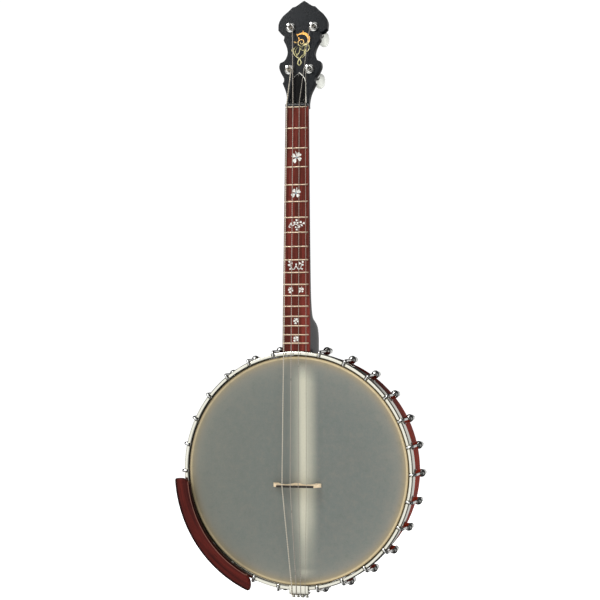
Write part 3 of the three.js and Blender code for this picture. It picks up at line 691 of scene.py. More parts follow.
def make_tone_ring():
    """A round rod bent to a circle."""
    radius, rod, depth = TONE_RING.radius, TONE_RING.tube, TONE_RING.depth
    section = [(radius + rod * cos(a), depth + rod * sin(a)) for a in circle(16)]
    shape = turning(section, 180, closed=True)
    make("tone_ring_rod", [shape], POT, BRASS, replaces=["tone_ring"])


def make_head():
    outer, film, collar = HEAD.radius, HEAD.film, HEAD.collar
    corners = [(0, 0), (40, 0), (110, 0), (170, 0), (outer, 0), (outer, collar), (outer - film, collar),
               (outer - film, film), (0, film)]
    shape = turning(rounded(corners, 1.4, 4), 180)
    make("head_skin", [shape], POT, head_film("head_film"), replaces=["drum_head"])


def make_flesh_hoop():
    make("flesh_hoop_band", [band(FLESH_HOOP, 0.8, 2, 120)], POT, NICKEL, replaces=["flesh_hoop"])


RIGHT_ANGLES = [FIRST_BRACKET + k * BRACKET_STEP for k in range(BRACKETS_PER_SIDE)]
BRACKET_ANGLES = [*RIGHT_ANGLES, *(-angle for angle in RIGHT_ANGLES)]


def hoop_section(front):
    """The hoop's section where its front is this deep: flat, between a chamfer and a round shoulder."""
    inner, outer, back, ledge = HOOP.inner, HOOP.outer, HOOP.back, HOOP.ledge
    shoulder = rounded([(inner + 2, front), (outer, front), (outer, back - 4)], 2.5, 6)[1:-1]
    skirt = rounded([(outer, back - 4), (outer, back), (HOOP.skirt, back), (HOOP.skirt, ledge),
                     (inner, ledge)], 0.8, 3)[1:-1]
    chamfer = [(inner, ledge), (inner, front + 1.1), (inner + 1, front)]
    return [*shoulder, *skirt, *chamfer]


def make_tension_hoop():
    """The hoop's section carried round the pot, lower at the front where a hook crosses it."""
    full = hoop_section(HOOP.front)
    cut = hoop_section(HOOP.front + NOTCH.depth)
    half = NOTCH.width / 2 / HOOP.outer
    slope = 0.5 / HOOP.outer
    reach = half + slope
    stations = []
    order = sorted(angle % FULL_TURN for angle in BRACKET_ANGLES)
    for here, after in zip(order, [*order[1:], order[0] + FULL_TURN]):
        stations += [(here - reach, full), (here - half, cut), (here + half, cut), (here + reach, full)]
        start, end = here + reach, after - reach
        steps = ceil((end - start) / radians(2.4))
        stations += [(start + (end - start) * k / steps, full) for k in range(1, steps)]
    rings = [[(r * sin(a), depth, r * cos(a)) for r, depth in section] for a, section in stations]
    shape = loft(rings, closed_along=True)
    make("tension_hoop_metal", [shape], POT, HOOP_METAL, replaces=["tension_hoop"])


def hook_shape():
    """A round rod with its end bent over the tension hoop."""
    shaft, tip, crown, reach = HOOK.shaft, HOOK.tip, HOOK.crown, HOOK.bend
    path = [(0, crown + 1.1, tip - 0.2), (0, crown + 0.25, tip + 0.5), (0, crown, tip + 1.6)]
    for k in range(7):
        angle = pi / 2 * k / 6
        path.append((0, crown + reach * (1 - cos(angle)), shaft - reach + reach * sin(angle)))
    path += [(0, 20, shaft), (0, HOOK_NUT.back + 2.2, shaft)]
    return tube(path, HOOK.rod, 14)


def shoe_shape():
    """A ball-shaped shoe on a short foot. The hook's rod passes through its middle."""
    radius, base, top = SHOE.radius, SHOE.base, SHOE.top
    middle = (base + top) / 2 + 1.6
    profile = [(0, base), (radius * 0.86, base), (radius * 0.86, base + 1.2), (radius * 0.72, base + 1.8)]
    steps = 14
    ball = top - middle
    for k in range(steps + 1):
        angle = -0.72 + (pi / 2 + 0.72) * k / steps
        profile.append((radius * cos(angle), middle + ball * sin(angle)))
    profile[-1] = (0, top)
    return shifted(radial(turning(profile, 32)), y=SHOE.depth)


def hexagon_turning(across, front, back, chamfer):
    """A hexagonal nut along Y with its corners chamfered."""
    slope = across * chamfer * 0.6
    narrow = across * (1 - chamfer)
    profile = [(narrow, front), (across, front + slope), (across, back - slope), (narrow, back)]
    return turning(profile, 6, caps=True)


def hook_nut_shape():
    front, back, radius = SHOE.depth + SHOE.radius - 0.4, HOOK_NUT.back, HOOK_NUT.radius
    washer = disc(radius * 0.98, front, front + 1, 28, 0.3)
    nut = hexagon_turning(radius, front + 1, back, 0.12)
    return [shifted(part, z=HOOK.shaft) for part in (washer, nut)]


def shoe_bolt_shape():
    head, inner, seat = SHOE_BOLT.head, SHOE_BOLT.inner, SHOE_BOLT.seat
    washer = disc(head + 1.2, seat, seat + 0.8, 28, 0.2)
    bolt = hexagon_turning(head, inner, seat, 0.12)
    return [shifted(radial(part), y=SHOE.depth) for part in (washer, bolt)]


def make_brackets():
    """Every bracket shows the same four meshes."""
    shapes = {"hook": [hook_shape()], "shoe": [shoe_shape()], "hook_nut": hook_nut_shape(),
              "shoe_bolt": shoe_bolt_shape()}
    meshes = {}
    for index, angle in enumerate(BRACKET_ANGLES):
        number = f"{index + 1:02d}"
        for kind, shape in shapes.items():
            name = f"{kind}_{number}"
            node = [f"tension_bracket_{number}"] if kind == "hook" else []
            if kind in meshes:
                placed(name, meshes[kind], around_pot(angle), replaces=node)
            else:
                meshes[kind] = make(name, shape, around_pot(angle), CHROME, replaces=node).data


def make_rods():
    """The two coordinator rods with their flanges, and a domed nut at the tail."""
    face = RIM.inner - 0.8
    for name, depth, tail_end in (("upper", RODS.upper, 199.6), ("lower", RODS.lower, 187.6)):
        flange, radius, bolt = RODS.radius + 2.4, RODS.radius, RODS.bolt
        profile = rounded([(0, -tail_end + 5), (bolt, -tail_end + 5), (bolt, -face), (flange, -face),
                           (flange, -face + 5), (radius, -face + 5), (radius, face - 5), (flange, face - 5),
                           (flange, face), (bolt, face), (bolt, face + 20), (0, face + 20)], 0.7)
        dome = [(5 * sin(a), -tail_end + 5.2 - 5.2 * cos(a)) for a in
                (pi / 2 * k / 8 for k in range(9))]
        nut = hexagon_turning(5.2, -tail_end + 4.6, -tail_end + 8, 0.08)
        shapes = [turning(profile, 40), turning([*dome, (0, -tail_end + 5.2)], 32), nut]
        shapes = [shifted(radial(shape), y=depth) for shape in shapes]
        make(f"rod_{name}", shapes, POT, CHROME, replaces=[f"coordinator_rod_{name}"])


# ------------------------------------------------------------------ armrest

def make_armrest():
    inner, outer, drop = ARMREST.inner, ARMREST.outer, ARMREST.drop
    start, end = radians(ARMREST.start), radians(ARMREST.start + ARMREST.sweep)
    soft, sharp = radians(5.1), radians(1.1)

    def at(radius, angle):
        return Vector((radius * cos(angle), radius * sin(angle) - drop))

    def arc(radius, first, last, steps=44):
        return [at(radius, first + (last - first) * k / steps) for k in range(1, steps)]

    outline = bend(at(inner + 16, start), at(inner, start), at(inner, start + soft), 8)
    outline += arc(inner, start + soft, end - soft * 1.7)
    outline += bend(at(inner, end - soft * 1.7), at(inner + 1.5, end - 0.01), at(inner + 19, end), 14)
    outline += bend(at(outer - 3, end), at(outer, end), at(outer, end - sharp), 5)
    outline += arc(outer, end - sharp, start + sharp)
    outline += bend(at(outer, start + sharp), at(outer, start), at(outer - 3, start), 5)
    front, back = ARMREST.front, ARMREST.front + ARMREST.thickness
    board = slab(outline, front, back, 1.9, 1.2, 5)
    make("armrest_board", [board], POT, ARMREST_WOOD, replaces=["armrest"])


def make_armrest_brackets():
    under = ARMREST.front + ARMREST.thickness + 0.3
    for index, steps in enumerate(ARMREST_BRACKETS):
        place = around_pot(-(FIRST_BRACKET + steps * BRACKET_STEP))
        sheet, outside, back = 1.6, 193.4 - 0.8, 29.2
        path = rounded([(under + sheet / 2, 181.5), (under + sheet / 2, outside), (back - 4.2, outside),
                        (back - 4.2, 186.6)], 1.8, 4)
        clip = strap(path, 9, sheet)
        screw = disc(2.6, under + sheet, under + sheet + 1.4, 24, 0.5)
        jack = hexagon_turning(2.8, back - 12, back - 4.6, 0.12)
        shapes = [clip, shifted(screw, z=189.5), shifted(jack, z=189.6)]
        name = f"armrest_bracket_{index + 1}"
        make(f"armrest_clip_{index + 1}", shapes, place, CHROME, replaces=[name])


# ------------------------------------------------------------------ neck

def half_width(along):
    share = along / FRETBOARD.length
    return FRETBOARD.pot_half + (FRETBOARD.nut_half - FRETBOARD.pot_half) * share


# (distance from the hoop, depth of the back, squareness of the section)
NECK_STATIONS = [(-10, 68.3, 5.5), (10, 68.3, 5.5), (22, 68.2, 5.5), (35, 65.3, 5), (42, 59, 4.4),
                 (46.5, 50.5, 3.8), (50.5, 42, 3.2), (58, 35.8, 2.8), (74, 31, 2.5), (98, 28, 2.3),
                 (160, 25, 2.2), (240, 22.6, 2.2), (345, 20.8, 2.2), (376, 20.2, 2.2), (388, 21.4, 2.3),
                 (398, 22.9, 2.4), (408, 23.4, 2.6)]


def pot_end(x, depth):
    """How far along the neck its heel starts at a point of its section: on the hoop, then on the rim."""
    radius = HOOP.outer + 0.6 if depth < HOOP.back - HOOP.front + 1 else RIM.outer + 0.3
    rise = sqrt(radius**2 - x**2) - NECK_START.z
    return (rise + depth * sin(NECK_BACK_ANGLE)) / cos(NECK_BACK_ANGLE)


def neck_top(along):
    """The depth of the neck's front face: under the fretboard and nut, then under the headstock's overlay."""
    if along < FRETBOARD.length + NUT.length:
        return FRETBOARD.thickness + 0.3
    return HEADSTOCK.drop + (along - HEADSTOCK.start) * tan(HEADSTOCK_ANGLE) + 3


def make_neck():
    stations = spline(NECK_STATIONS, 6)
    sides, clear_of_pot = 40, 6
    rings = []
    for along, depth, square in stations:
        half, top = half_width(min(along, FRETBOARD.length)), neck_top(along)
        ring = []
        for k in range(sides + 1):
            angle = pi * k / sides
            across, back = cos(angle), sin(angle)
            x = half * copysign(abs(across) ** (2 / square), across)
            y = top + (depth - top) * max(back, 0) ** (2 / square)
            ring.append((x, y, along))
        rings.append(ring)
    rings = [ring for ring in rings if ring[0][2] > clear_of_pot]
    heel = [(x, y, pot_end(x, y)) for x, y, _ in rings[0]]
    neck = loft([heel, *rings])
    core = slab(headstock_outline(), HEADSTOCK.overlay + 0.1, HEADSTOCK.thickness, 0.1, 2.2, 5)
    to_neck = NECK.inverted() @ HEADSTOCK_FRAME
    to_neck.translation /= MM
    make("neck_wood", [neck, moved(core, to_neck)], NECK, BLACK_LACQUER, replaces=["neck"])


HEADSTOCK_HALF = [
    [(18, 0), (17.6, 10), (19.9, 24), (26.8, 40.2)],
    [(26.8, 40.2), (24.9, 43.8), (25.3, 48.8)],
    [(25.3, 48.8), (31.2, 58.4), (34.2, 66.8), (33.5, 73.8)],
    [(33.5, 73.8), (25.8, 78.4), (22, 88.6), (24, 99.8), (30, 111.6)],
    [(30, 111.6), (29.1, 116.8), (30.2, 122.2)],
    [(30.2, 122.2), (35, 123.8), (39.9, 128.8)],
    [(39.9, 128.8), (39.8, 140.6), (34.4, 151.4), (25.6, 159.6), (18.5, 166.6)],
    [(18.5, 166.6), (14.4, 167.4), (10, 170)],
    [(10, 170), (5, 173.6), (0, 176.8)],
]


def headstock_outline(start=0.0):
    right = []
    for stretch in HEADSTOCK_HALF:
        right += spline(stretch, 6)[:-1]
    right = [Vector((x - 0.05, z)) for x, z in right if z >= start]
    tip = Vector((0, HEADSTOCK_HALF[-1][-1][1]))
    left = [Vector((-x, z)) for x, z in reversed(right)]
    return [*right, tip, *left]


def make_overlay():
    after_nut = FRETBOARD.length + NUT.length - HEADSTOCK.start + 0.7
    plate = slab(headstock_outline(after_nut), 0, HEADSTOCK.overlay, 0.5, 0.1, 3)
    make("overlay_plate", [plate], HEADSTOCK_FRAME, OVERLAY_LACQUER,
         replaces=["headstock_overlay"])


def make_fretboard():
    length, thickness = FRETBOARD.length - 0.3, FRETBOARD.thickness
    pot_half, nut_half = FRETBOARD.pot_half, FRETBOARD.nut_half
    curve = NECK_START.z - 0.1
    start = [Vector((x, sqrt(curve**2 - x**2) - curve + 0.3)) for x in
             (-pot_half + 2 * pot_half * k / 16 for k in range(17))]
    outline = [*start, Vector((nut_half, length)), Vector((-nut_half, length))]
    board = slab(outline, 0, thickness, 0.4, 0.1, 3)
    make("fingerboard", [board], NECK, FRETBOARD_WOOD, replaces=["fretboard"])


def fret_place(number):
    return ZERO_FRET.along - SCALE_LENGTH * (1 - 2 ** (-number / 12))


def make_frets():
    """Each fret is a crowned wire with its ends dressed to a slope. The zero fret is a taller one."""
    ends = [(0, 0.25), (0.5, 0.8), (1.1, 1)]
    arc = [pi * k / 8 for k in range(9)]
    for number in range(FRET_COUNT + 1):
        along = fret_place(number)
        half = half_width(along) - 0.35
        crown = ZERO_FRET.height + 0.1 if number == 0 else 1.15
        sections = [(-half + x, scale) for x, scale in ends]
        sections += [(half - x, scale) for x, scale in reversed(ends)]
        rings = []
        for x, scale in sections:
            rings.append([(x, 0.1 - crown * scale * sin(a), along + 1.15 * cos(a)) for a in arc])
        make(f"fret_{number:02d}", [loft(rings)], NECK, FRET_METAL)


INLAY = (-0.07, 0.4)  # its front and back, so that it stands just proud of the wood


def leaf(x, z, size, direction, width=0.84):
    """One heart-shaped clover leaf with its point at (x, z)."""
    turn = Matrix.Rotation(-direction, 2)
    outline = []
    for t in circle(24):
        across = width * size * sin(t) ** 3 / 2
        out = size * (13 * cos(t) - 5 * cos(2 * t) - 2 * cos(3 * t) - cos(4 * t) + 17) / 29
        outline.append(Vector((x, z)) + turn @ Vector((across, out)))
    return loft([[(px, depth, pz) for px, pz in outline] for depth in INLAY])


def sprig(x, z, direction, length, middle, sway, steps):
    """A path of this length that bows to one side at its middle."""
    way = Vector((sin(direction), cos(direction)))
    side = Vector((way.y, -way.x))
    root = Vector((x, z))
    return spline([root, root + way * length * middle + side * sway, root + way * length], steps)


def clover(x, z, size, turn, leaves=4, stem=0.0):
    """Leaves of slightly different sizes round a point, and a curved stem of this length."""
    gap = size * 0.12
    shapes = []
    for k in range(leaves):
        direction = turn + FULL_TURN * k / leaves + (0.12, -0.1, 0.05, -0.08)[k]
        start = (x + gap * sin(direction), z + gap * cos(direction))
        shapes.append(leaf(*start, size * (1.0, 0.9, 1.06, 0.94)[k], direction))
    if stem:
        shapes.append(ribbon(sprig(x, z, turn - 0.8, stem, 0.6, 0.6, 5), 0.9, *INLAY, taper=0.6))
    return shapes


def vine(along, stem, clusters, leaves):
    """A winding stem with three-leaved clusters at (x, along, size, turn) and single leaves on the way."""
    path = spline(stem, 6)
    shapes = [ribbon([(x, z + along) for x, z in path], 1.1, *INLAY, taper=0.5)]
    for x, z, size, turn in clusters:
        shapes += clover(x, along + z, size, turn, leaves=3)
    return shapes + [leaf(x, along + z, size, turn, 0.6) for x, z, size, turn in leaves]


INLAID_FRETS = (3, 5, 7, 10, 12, 15, 17)
# (fret, x, size, turn, stem's length)
CLOVERS = [(3, 0.6, 7.9, 0.6, 10), (5, -0.4, 7, 0.95, 9), (12, -8.6, 4.1, 0.3, 5.6), (12, 8.6, 4.1, 0.9, 5.6),
           (15, 0.4, 4.2, 0.2, 5.6), (17, 0.2, 4.2, 0.7, 5.6)]
# The stem, the clusters and the single leaves of each vine, by its fret
VINES = {
    7: ([(-12.5, -3.5), (-10, 0.5), (-5.5, -1), (-1, 1.5), (4, -1), (8.5, 1.5)],
        [(0, 4.6, 3.9, 0.1), (9.6, 2, 4, 1.3), (1.5, -4.6, 3.6, 3.2)],
        [(-7, 0, 4, -0.5), (-11.5, -2, 3, 2.4), (5, -1, 3.2, 2.7)]),
    10: ([(-9.5, 5), (-7.5, -3), (-3, -4.4), (0, 0.5), (3.5, -4.2), (7.5, -3), (9, 4)],
         [(-9.6, 4.6, 4, -0.5), (9.2, 4.4, 4, 0.5)],
         [(-7.4, -3, 4, 4.2), (0, 0.4, 4, 0.1), (7.6, -3, 4, 2.1)]),
}


def fret_middle(number):
    """Half way between a fret and the one before it."""
    return (fret_place(number) + fret_place(number - 1)) / 2


def make_inlays():
    """Pearl clovers and vines behind the usual frets. The two largest clovers have a centre."""
    shapes = {number: [] for number in INLAID_FRETS}
    for number, x, size, turn, stem in CLOVERS:
        shapes[number] += clover(x, fret_middle(number), size, turn, stem=stem)
    for number, parts in VINES.items():
        shapes[number] += vine(fret_middle(number), *parts)
    for number, shape in shapes.items():
        make(f"inlay_{number:02d}", shape, NECK, INLAY_PEARL)
    for number, x, *_ in CLOVERS[:2]:
        centre = shifted(disc(1.5, -0.11, 0.3, 20), x=x, z=fret_middle(number))
        make(f"inlay_{number:02d}_centre", [centre], NECK, ABALONE)


def make_side_dots():
    """Dots on the fretboard's side, at the inlaid frets."""
    dot = moved(disc(1, 0, 0.6, 16), Matrix.Rotation(pi / 2, 4, "Z"))
    dots = []
    for number in INLAID_FRETS:
        along = fret_middle(number)
        dots.append(shifted(dot, x=-half_width(along) + 0.55, y=3, z=along))
    make("side_dots", dots, NECK, INLAY_PEARL)


def string_x(index, spread):
    return (1.5 - index) * STRING_SPREAD[spread] / 3


def notches(spread, top, depth, spare, lip, waist):
    """A top line from left to right with a notch for each string."""
    line = []
    for index in range(3, -1, -1):
        x, wide = string_x(index, spread), STRING_DIAMETERS[index] / 2 + spare
        line += [(x - wide - lip, top), (x - wide * waist, top + depth), (x + wide * waist, top + depth),
                 (x + wide + lip, top)]
    return line


def make_nut():
    """A black block whose top is notched for each string and rounds off towards the headstock."""
    half, top, bottom = FRETBOARD.nut_half - 0.1, -NUT.proud - 0.25, FRETBOARD.thickness
    front = [(-half, bottom), (-half, top + 0.8), (-half + 0.8, top),
             *notches("nut", top, 0.5, 0.15, 0.1, 0.7),
             (half - 0.8, top), (half, top + 0.8), (half, bottom)]
    start, length = FRETBOARD.length + 0.1, NUT.length - 0.2
    rings = []
    for share, lower in ((0, 0.25), (0.08, 0.0), (0.45, 0.0), (0.8, 0.35), (0.97, 1.0), (1, 1.4)):
        rings.append([(x, y + lower if y < bottom else y, start + length * share) for x, y in front])
    make("nut_block", [loft(rings)], NECK, NUT_BLACK, replaces=["nut"])


def cover_outline(margin):
    right = [(15, 6.4), (14.2, 12), (13.1, 22), (12.4, 34), (11.4, 42), (8.6, 48.6), (4.2, 53.4), (0, 57)]
    curve = spline(right, 5)
    outline = [*curve, *(Vector((-x, z)) for x, z in reversed(curve[:-1]))]
    return inset(outline, margin)


def make_truss_rod_cover():
    """A thin pale plate under a black one that is a little smaller and set off a little to the left and down,
    so that a painted highlight shows as a light line along the bevel, mostly at the right and the top.
    """
    pale = slab(cover_outline(0.05), -1.0, -0.3, 0.2, 0.05, 2)
    black = shifted(slab(cover_outline(0.75), -2.25, -0.98, 0.5, 0.02, 3), x=-0.4, z=-0.5)
    make("cover_edge_highlight", [pale], HEADSTOCK_FRAME, COVER_HIGHLIGHT, replaces=["truss_rod_cover"])
    make("cover_face", [black], HEADSTOCK_FRAME, COVER_BLACK)
    screws = []
    for x, z in ((-10.5, 10.5), (10.5, 10.5), (0, 50.5)):
        head = [(0, -2.95), (1.1, -2.85), (1.7, -2.5), (1.75, -2.2), (0, -2.2)]
        screws.append(shifted(turning(head, 20), x=x, z=z))
    make("cover_screws", screws, HEADSTOCK_FRAME, DARK_METAL)


def spiral(x, z, first, last, turns, start):
    """A spiral round a point, from the first to the last radius."""
    points = []
    for t in shares(40):
        radius, angle = first + (last - first) * t, start + turns * FULL_TURN * t
        points.append((x + radius * sin(angle), z + radius * cos(angle)))
    return points


# The scroll on the headstock: its stems by width and way, and its leaves by place, size and direction
SCROLL_STEMS = [
    (1.2, [(11, 104), (13.5, 97), (9.5, 91), (6.5, 97), (9.5, 102)]),
    (1.5, [(-8.5, 101), (-12.5, 93), (-9, 85), (-2, 80), (1.5, 74), (-1, 69), (-4, 73), (-1.5, 80), (4, 86),
           (7.5, 91), (6.5, 85), (2.5, 81)]),
    (1.2, [(-6, 99), (-9, 93), (-6.5, 87), (-2.5, 90), (-1.5, 96), (3.5, 98)]),
    (1.1, [(-3.5, 99.5), (0, 95), (4, 93.5), (7, 95.5)]),
]
SCROLL_LEAVES = [(-10.5, 98, 7, 3.9), (-4, 86, 5, 4.2), (0, 121, 5.5, 0.3), (-6.5, 117.5, 5, -0.6),
                 (-8, 106, 5, -1.2), (3, 103, 5, 1.0), (-4, 111, 5, -0.4), (4.5, 90, 4.5, 0.4)]


def make_ornament():
    """A generic gold scroll with leaves in the middle of the headstock."""
    depths = (-0.08, 0.3)  # its front and back
    shapes = [ribbon(spiral(1.5, 110, 12.5, 9, 0.6, -0.9), 4.4, *depths),
              ribbon(spiral(0, 107, 7, 1.6, 1.4, 2.4), 1.5, *depths, 0.4)]
    for width, way in SCROLL_STEMS:
        shapes.append(ribbon(spline(way, 6), width, *depths, 0.4))
    for x, z, size, direction in SCROLL_LEAVES:
        path = sprig(x, z, direction, size, 0.5, size * 0.14, 6)
        shapes.append(ribbon(path, size * 0.36, *depths, 0.05))
    make("headstock_scroll", shapes, HEADSTOCK_FRAME, GOLD)


# ------------------------------------------------------------------ tuners

CASE_START = HEADSTOCK.thickness + 0.3
CASE_END = HEADSTOCK.thickness + 21.5


def make_tuner_housing(label, place):
    """The front bushing and the gear case, each with a bore for what turns in it."""
    bushing = [(3.4, -2.9), (5.4, -2.9), (6, -1.8), (7.75, -1.5), (7.75, -0.1), (3.4, -0.1)]
    case = [(2.6, CASE_START), (8.6, CASE_START), (8.6, CASE_START + 1.7), (7.4, CASE_START + 2.3),
            (7.4, CASE_START + 11.7), (6.9, CASE_START + 12.1), (6.9, CASE_END - 4), (5.6, CASE_END - 0.8),
            (4.4, CASE_END), (2.6, CASE_END)]
    shapes = [turning(rounded(part, 0.5, closed=True), 40, closed=True) for part in (bushing, case)]
    make(f"{label}_case", shapes, place, CHROME, replaces=[f"{label}_housing"])


def make_tuner_post(label, place, index):
    post = [(0, -14.5), (2.4, -14.5), (2.8, -13.9), (2.8, -9.4), (2.4, -8.6), (2.4, -5.6), (3, -5), (3, 8),
            (0, 8)]
    body = f"{label}_post"
    spindle = turning(rounded(post, 0.4), 32)
    make(f"{label}_spindle", [spindle], place, CHROME, body=body, replaces=[body])
    turns = tube(winding(index), STRING_DIAMETERS[index] / 2, 10)
    make(f"{label}_windings", [turns], place, STRING_METALS[index], body=body)


def make_tuner_button(label, place):
    body = f"{label}_button"
    make(f"{label}_knob", [knob_shape()], place, KNOB_PEARL, body=body, replaces=[body])
    front, back = KNOB.front, KNOB.back
    stem = [(0, CASE_END - 2), (2, CASE_END - 2), (2, front - 2.6), (3.4, front - 2.2), (4.2, front - 0.2),
            (4.2, front + 1.2), (0, front + 1.2)]
    screw = [(0, back + 1), (1.4, back + 0.9), (2.4, back + 0.3), (2.6, back - 0.6), (0, back - 0.6)]
    metal = [turning(rounded(stem, 0.3), 28), turning(screw, 24)]
    make(f"{label}_stem", metal, place, CHROME, body=body)


def make_tuners():
    for index in range(len(TUNER_PLACES)):
        label, place = f"tuner_{index + 1}", tuner_frame(index)
        make_tuner_housing(label, place)
        make_tuner_post(label, place, index)
        make_tuner_button(label, place)


def winding(index):
    """Turns of string round the post, from where the string arrives down to the bushing."""
    side = 1 if index < 2 else -1
    radius = 2.4 + STRING_DIAMETERS[index] / 2
    turns, steps = 2.5, 24
    pitch = STRING_DIAMETERS[index] * 1.03
    start = WINDING.along - turns * pitch / 2
    points = []
    for k in range(int(turns * steps) + 1):
        angle = FULL_TURN * k / steps
        x = -side * radius * cos(angle)
        points.append((x, start + pitch * k / steps, -side * radius * sin(angle)))
    return points


def squared(wave):
    """A sine or cosine swollen a little, which squares a circle slightly."""
    return copysign(abs(wave) ** 0.85, wave)


def knob_shape():
    """An oval knob: broad and thin, waisted at its metal collar and crowned at its end."""
    front, back = KNOB.front, KNOB.back
    sections = [(0, 0.5, 0.34), (0.03, 0.56, 0.4), (0.14, 0.66, 0.6), (0.32, 0.84, 0.88), (0.52, 0.97, 0.99),
                (0.68, 1, 1), (0.82, 0.94, 0.95), (0.92, 0.78, 0.82), (0.98, 0.5, 0.56), (1, 0.2, 0.25)]
    rings = []
    for share, wide, long in spline(sections, 3):
        half_x, half_z = KNOB.half_width * 0.99 * wide, KNOB.half_length * 0.99 * long
        depth = front + (back - front) * share
        rings.append([(half_x * squared(sin(a)), depth, half_z * squared(cos(a))) for a in circle(36)])
    return loft(rings)


# ------------------------------------------------------------------ bridge, tailpiece and strings

def bridge_outline(top):
    """The bridge seen along the strings, as (x, height): two arches between three feet."""
    foot_half, cap_half = BRIDGE.foot_half, BRIDGE.cap_half
    foot, arch, centre = 8, 6.6, 4.4

    def arch_curve(first, last):
        return [(first + (last - first) * t, 0.1 + arch * (1 - abs(2 * t - 1) ** 2.6)) for t in shares(16)]

    right = spline([(foot_half, 0.1), (foot_half - 0.6, 2.4), (foot_half - 3.4, 6.6),
                    (cap_half + 0.8, top - 1.6), (cap_half, top)], 6)
    left = [(-x, h) for x, h in reversed(right[1:])]
    return [(-foot_half, 0.1), *arch_curve(-foot_half + foot, -centre),
            *arch_curve(centre, foot_half - foot), *right, *left]


def make_bridge():
    """Its tail side is upright, and its neck side leans towards the top."""
    top = BRIDGE.height - BRIDGE.cap - 0.1
    tail = BRIDGE_PLACE - BRIDGE.cap_thickness / 2
    lean = BRIDGE.thickness - BRIDGE.cap_thickness
    outline = bridge_outline(top)
    rings = [[(x, -h, tail) for x, h in outline],
             [(x, -h, tail + BRIDGE.thickness - lean * h / top) for x, h in outline]]
    make("bridge_wood", [loft(rings)], POT, MAPLE, replaces=["bridge"])


def make_bridge_cap():
    """An ebony strip with a notch for each string."""
    height, half_x, half = BRIDGE.height, BRIDGE.cap_half, BRIDGE.cap_thickness / 2
    bottom = height - BRIDGE.cap
    profile = [(-half_x, bottom), (-half_x, height - 0.3), (-half_x + 0.4, height),
               *notches("bridge", height, -0.45, 0.2, 0.2, 0.6),
               (half_x - 0.4, height), (half_x, height - 0.3), (half_x, bottom)]
    rings = []
    for z, shrink in ((-half, 0.3), (-half + 0.3, 0), (half - 0.3, 0), (half, 0.3)):
        rings.append([(x, -h + (shrink if h > height - 1 else 0), BRIDGE_PLACE + z) for x, h in profile])
    make("bridge_top", [loft(rings)], POT, EBONY, replaces=["bridge_cap"])


def tail_hanger():
    """The plate down the rim's outside, which the tail bolt holds."""
    outer, back = TAILPIECE.outer, TAILPIECE.back
    half = [(-15.4, 6), (-14.6, 9.6), (-11, 12.6), (-8.2, 16), (-7.6, 22), (-7.6, back - 5), (-5, back - 0.6),
            (0, back)]
    outline = [*half, *((-x, y) for x, y in reversed(half[:-1]))]
    swap = Matrix(((1, 0, 0, 0), (0, 0, 1, 0), (0, 1, 0, 0), (0, 0, 0, 1)))
    return moved(slab(outline, -outer, -outer + TAILPIECE.plate, 0.3, 0.3, 3), swap)


def string_posts():
    """A headed post for each string's loop."""
    radius, head, end, foot = KNOB_POSTS.radius, KNOB_POSTS.head, KNOB_POSTS.end, TAILPIECE.outer - 1
    profile = rounded([(0, foot), (radius, foot), (radius, end - 2.1), (head, end - 1.7),
                       (head, end - 0.5), (0, end)], 0.4)
    post = moved(radial(turning(profile, 20)), Matrix.Rotation(pi, 4, "Y"))
    return [shifted(post, x=string_x(index, "tailpiece"), y=KNOB_POSTS.depth) for index in range(4)]


def make_tailpiece():
    """A strap bent over the hoop, with a hanger and a post for each string."""
    sheet = TAILPIECE.plate
    middle, face = TAILPIECE.outer - sheet / 2, TAILPIECE.front + sheet / 2
    path = rounded([(face, -TAILPIECE.inner), (face, -middle), (8, -middle)], 2.2, 5)
    shapes = [strap(path, 2 * TAILPIECE.half_width, sheet), tail_hanger(), *string_posts()]
    place = POT @ Matrix.Translation((TAILPIECE.shift * MM, 0, 0))
    make("tailpiece_metal", shapes, place, HOOP_METAL, replaces=["tailpiece"])


def string_path(index):
    """The route of the CAD string: post, plate, bridge, nut and tuner."""
    radius = STRING_DIAMETERS[index] / 2
    lift = radius + 0.3
    x, along = TUNER_PLACES[index]
    side = copysign(1, x)
    inside = x - side * (WINDING.radius + lift)
    tail_x = TAILPIECE.shift + string_x(index, "tailpiece")
    plate_top = TAILPIECE.front - lift
    outer = TAILPIECE.outer + lift
    nut_x, nut_top, nut_start = string_x(index, "nut"), -NUT.proud - lift, FRETBOARD.length
    return [
        Vector((tail_x, KNOB_POSTS.depth - KNOB_POSTS.radius - lift - 0.4, -outer)),
        Vector((tail_x, plate_top + 0.6, -outer)),
        Vector((tail_x, plate_top, -outer + 0.8)),
        Vector((tail_x, plate_top, -TAILPIECE.inner)),
        Vector((string_x(index, "bridge"), -BRIDGE.height - lift, BRIDGE_PLACE)),
        in_pot(NECK, (nut_x, nut_top, nut_start)),
        in_pot(NECK, (nut_x, nut_top, nut_start + NUT.length)),
        in_pot(HEADSTOCK_FRAME, (inside, WINDING.along, along)),
    ]


def make_strings():
    for index, diameter in enumerate(STRING_DIAMETERS):
        path = string_path(index)
        shapes = [tube(rounded(path, 0.8, 4), diameter / 2, 10)]
        loop_radius = KNOB_POSTS.radius + diameter / 2 + 0.1
        middle = Vector((path[0].x, KNOB_POSTS.depth, path[0].z - 0.3))
        loop = [middle + loop_radius * Vector((sin(a), -cos(a), 0)) for a in circle(24)]
        shapes.append(tube(loop, diameter * 0.4, 8, closed=True))
        make(f"string_wire_{index + 1}", shapes, POT, STRING_METALS[index],
             replaces=[f"string_{index + 1}"])


# ------------------------------------------------------------------ everything

make_rim()
make_tone_ring()
make_head()
make_flesh_hoop()
make_tension_hoop()
make_brackets()
make_rods()
make_armrest()
make_armrest_brackets()
make_neck()
make_overlay()
make_fretboard()
make_frets()
make_inlays()
make_side_dots()
make_nut()
make_truss_rod_cover()
make_ornament()
make_tuners()
make_bridge()
make_bridge_cap()
make_tailpiece()
make_strings()

# ------------------------------------------------------------------ floor, light and camera

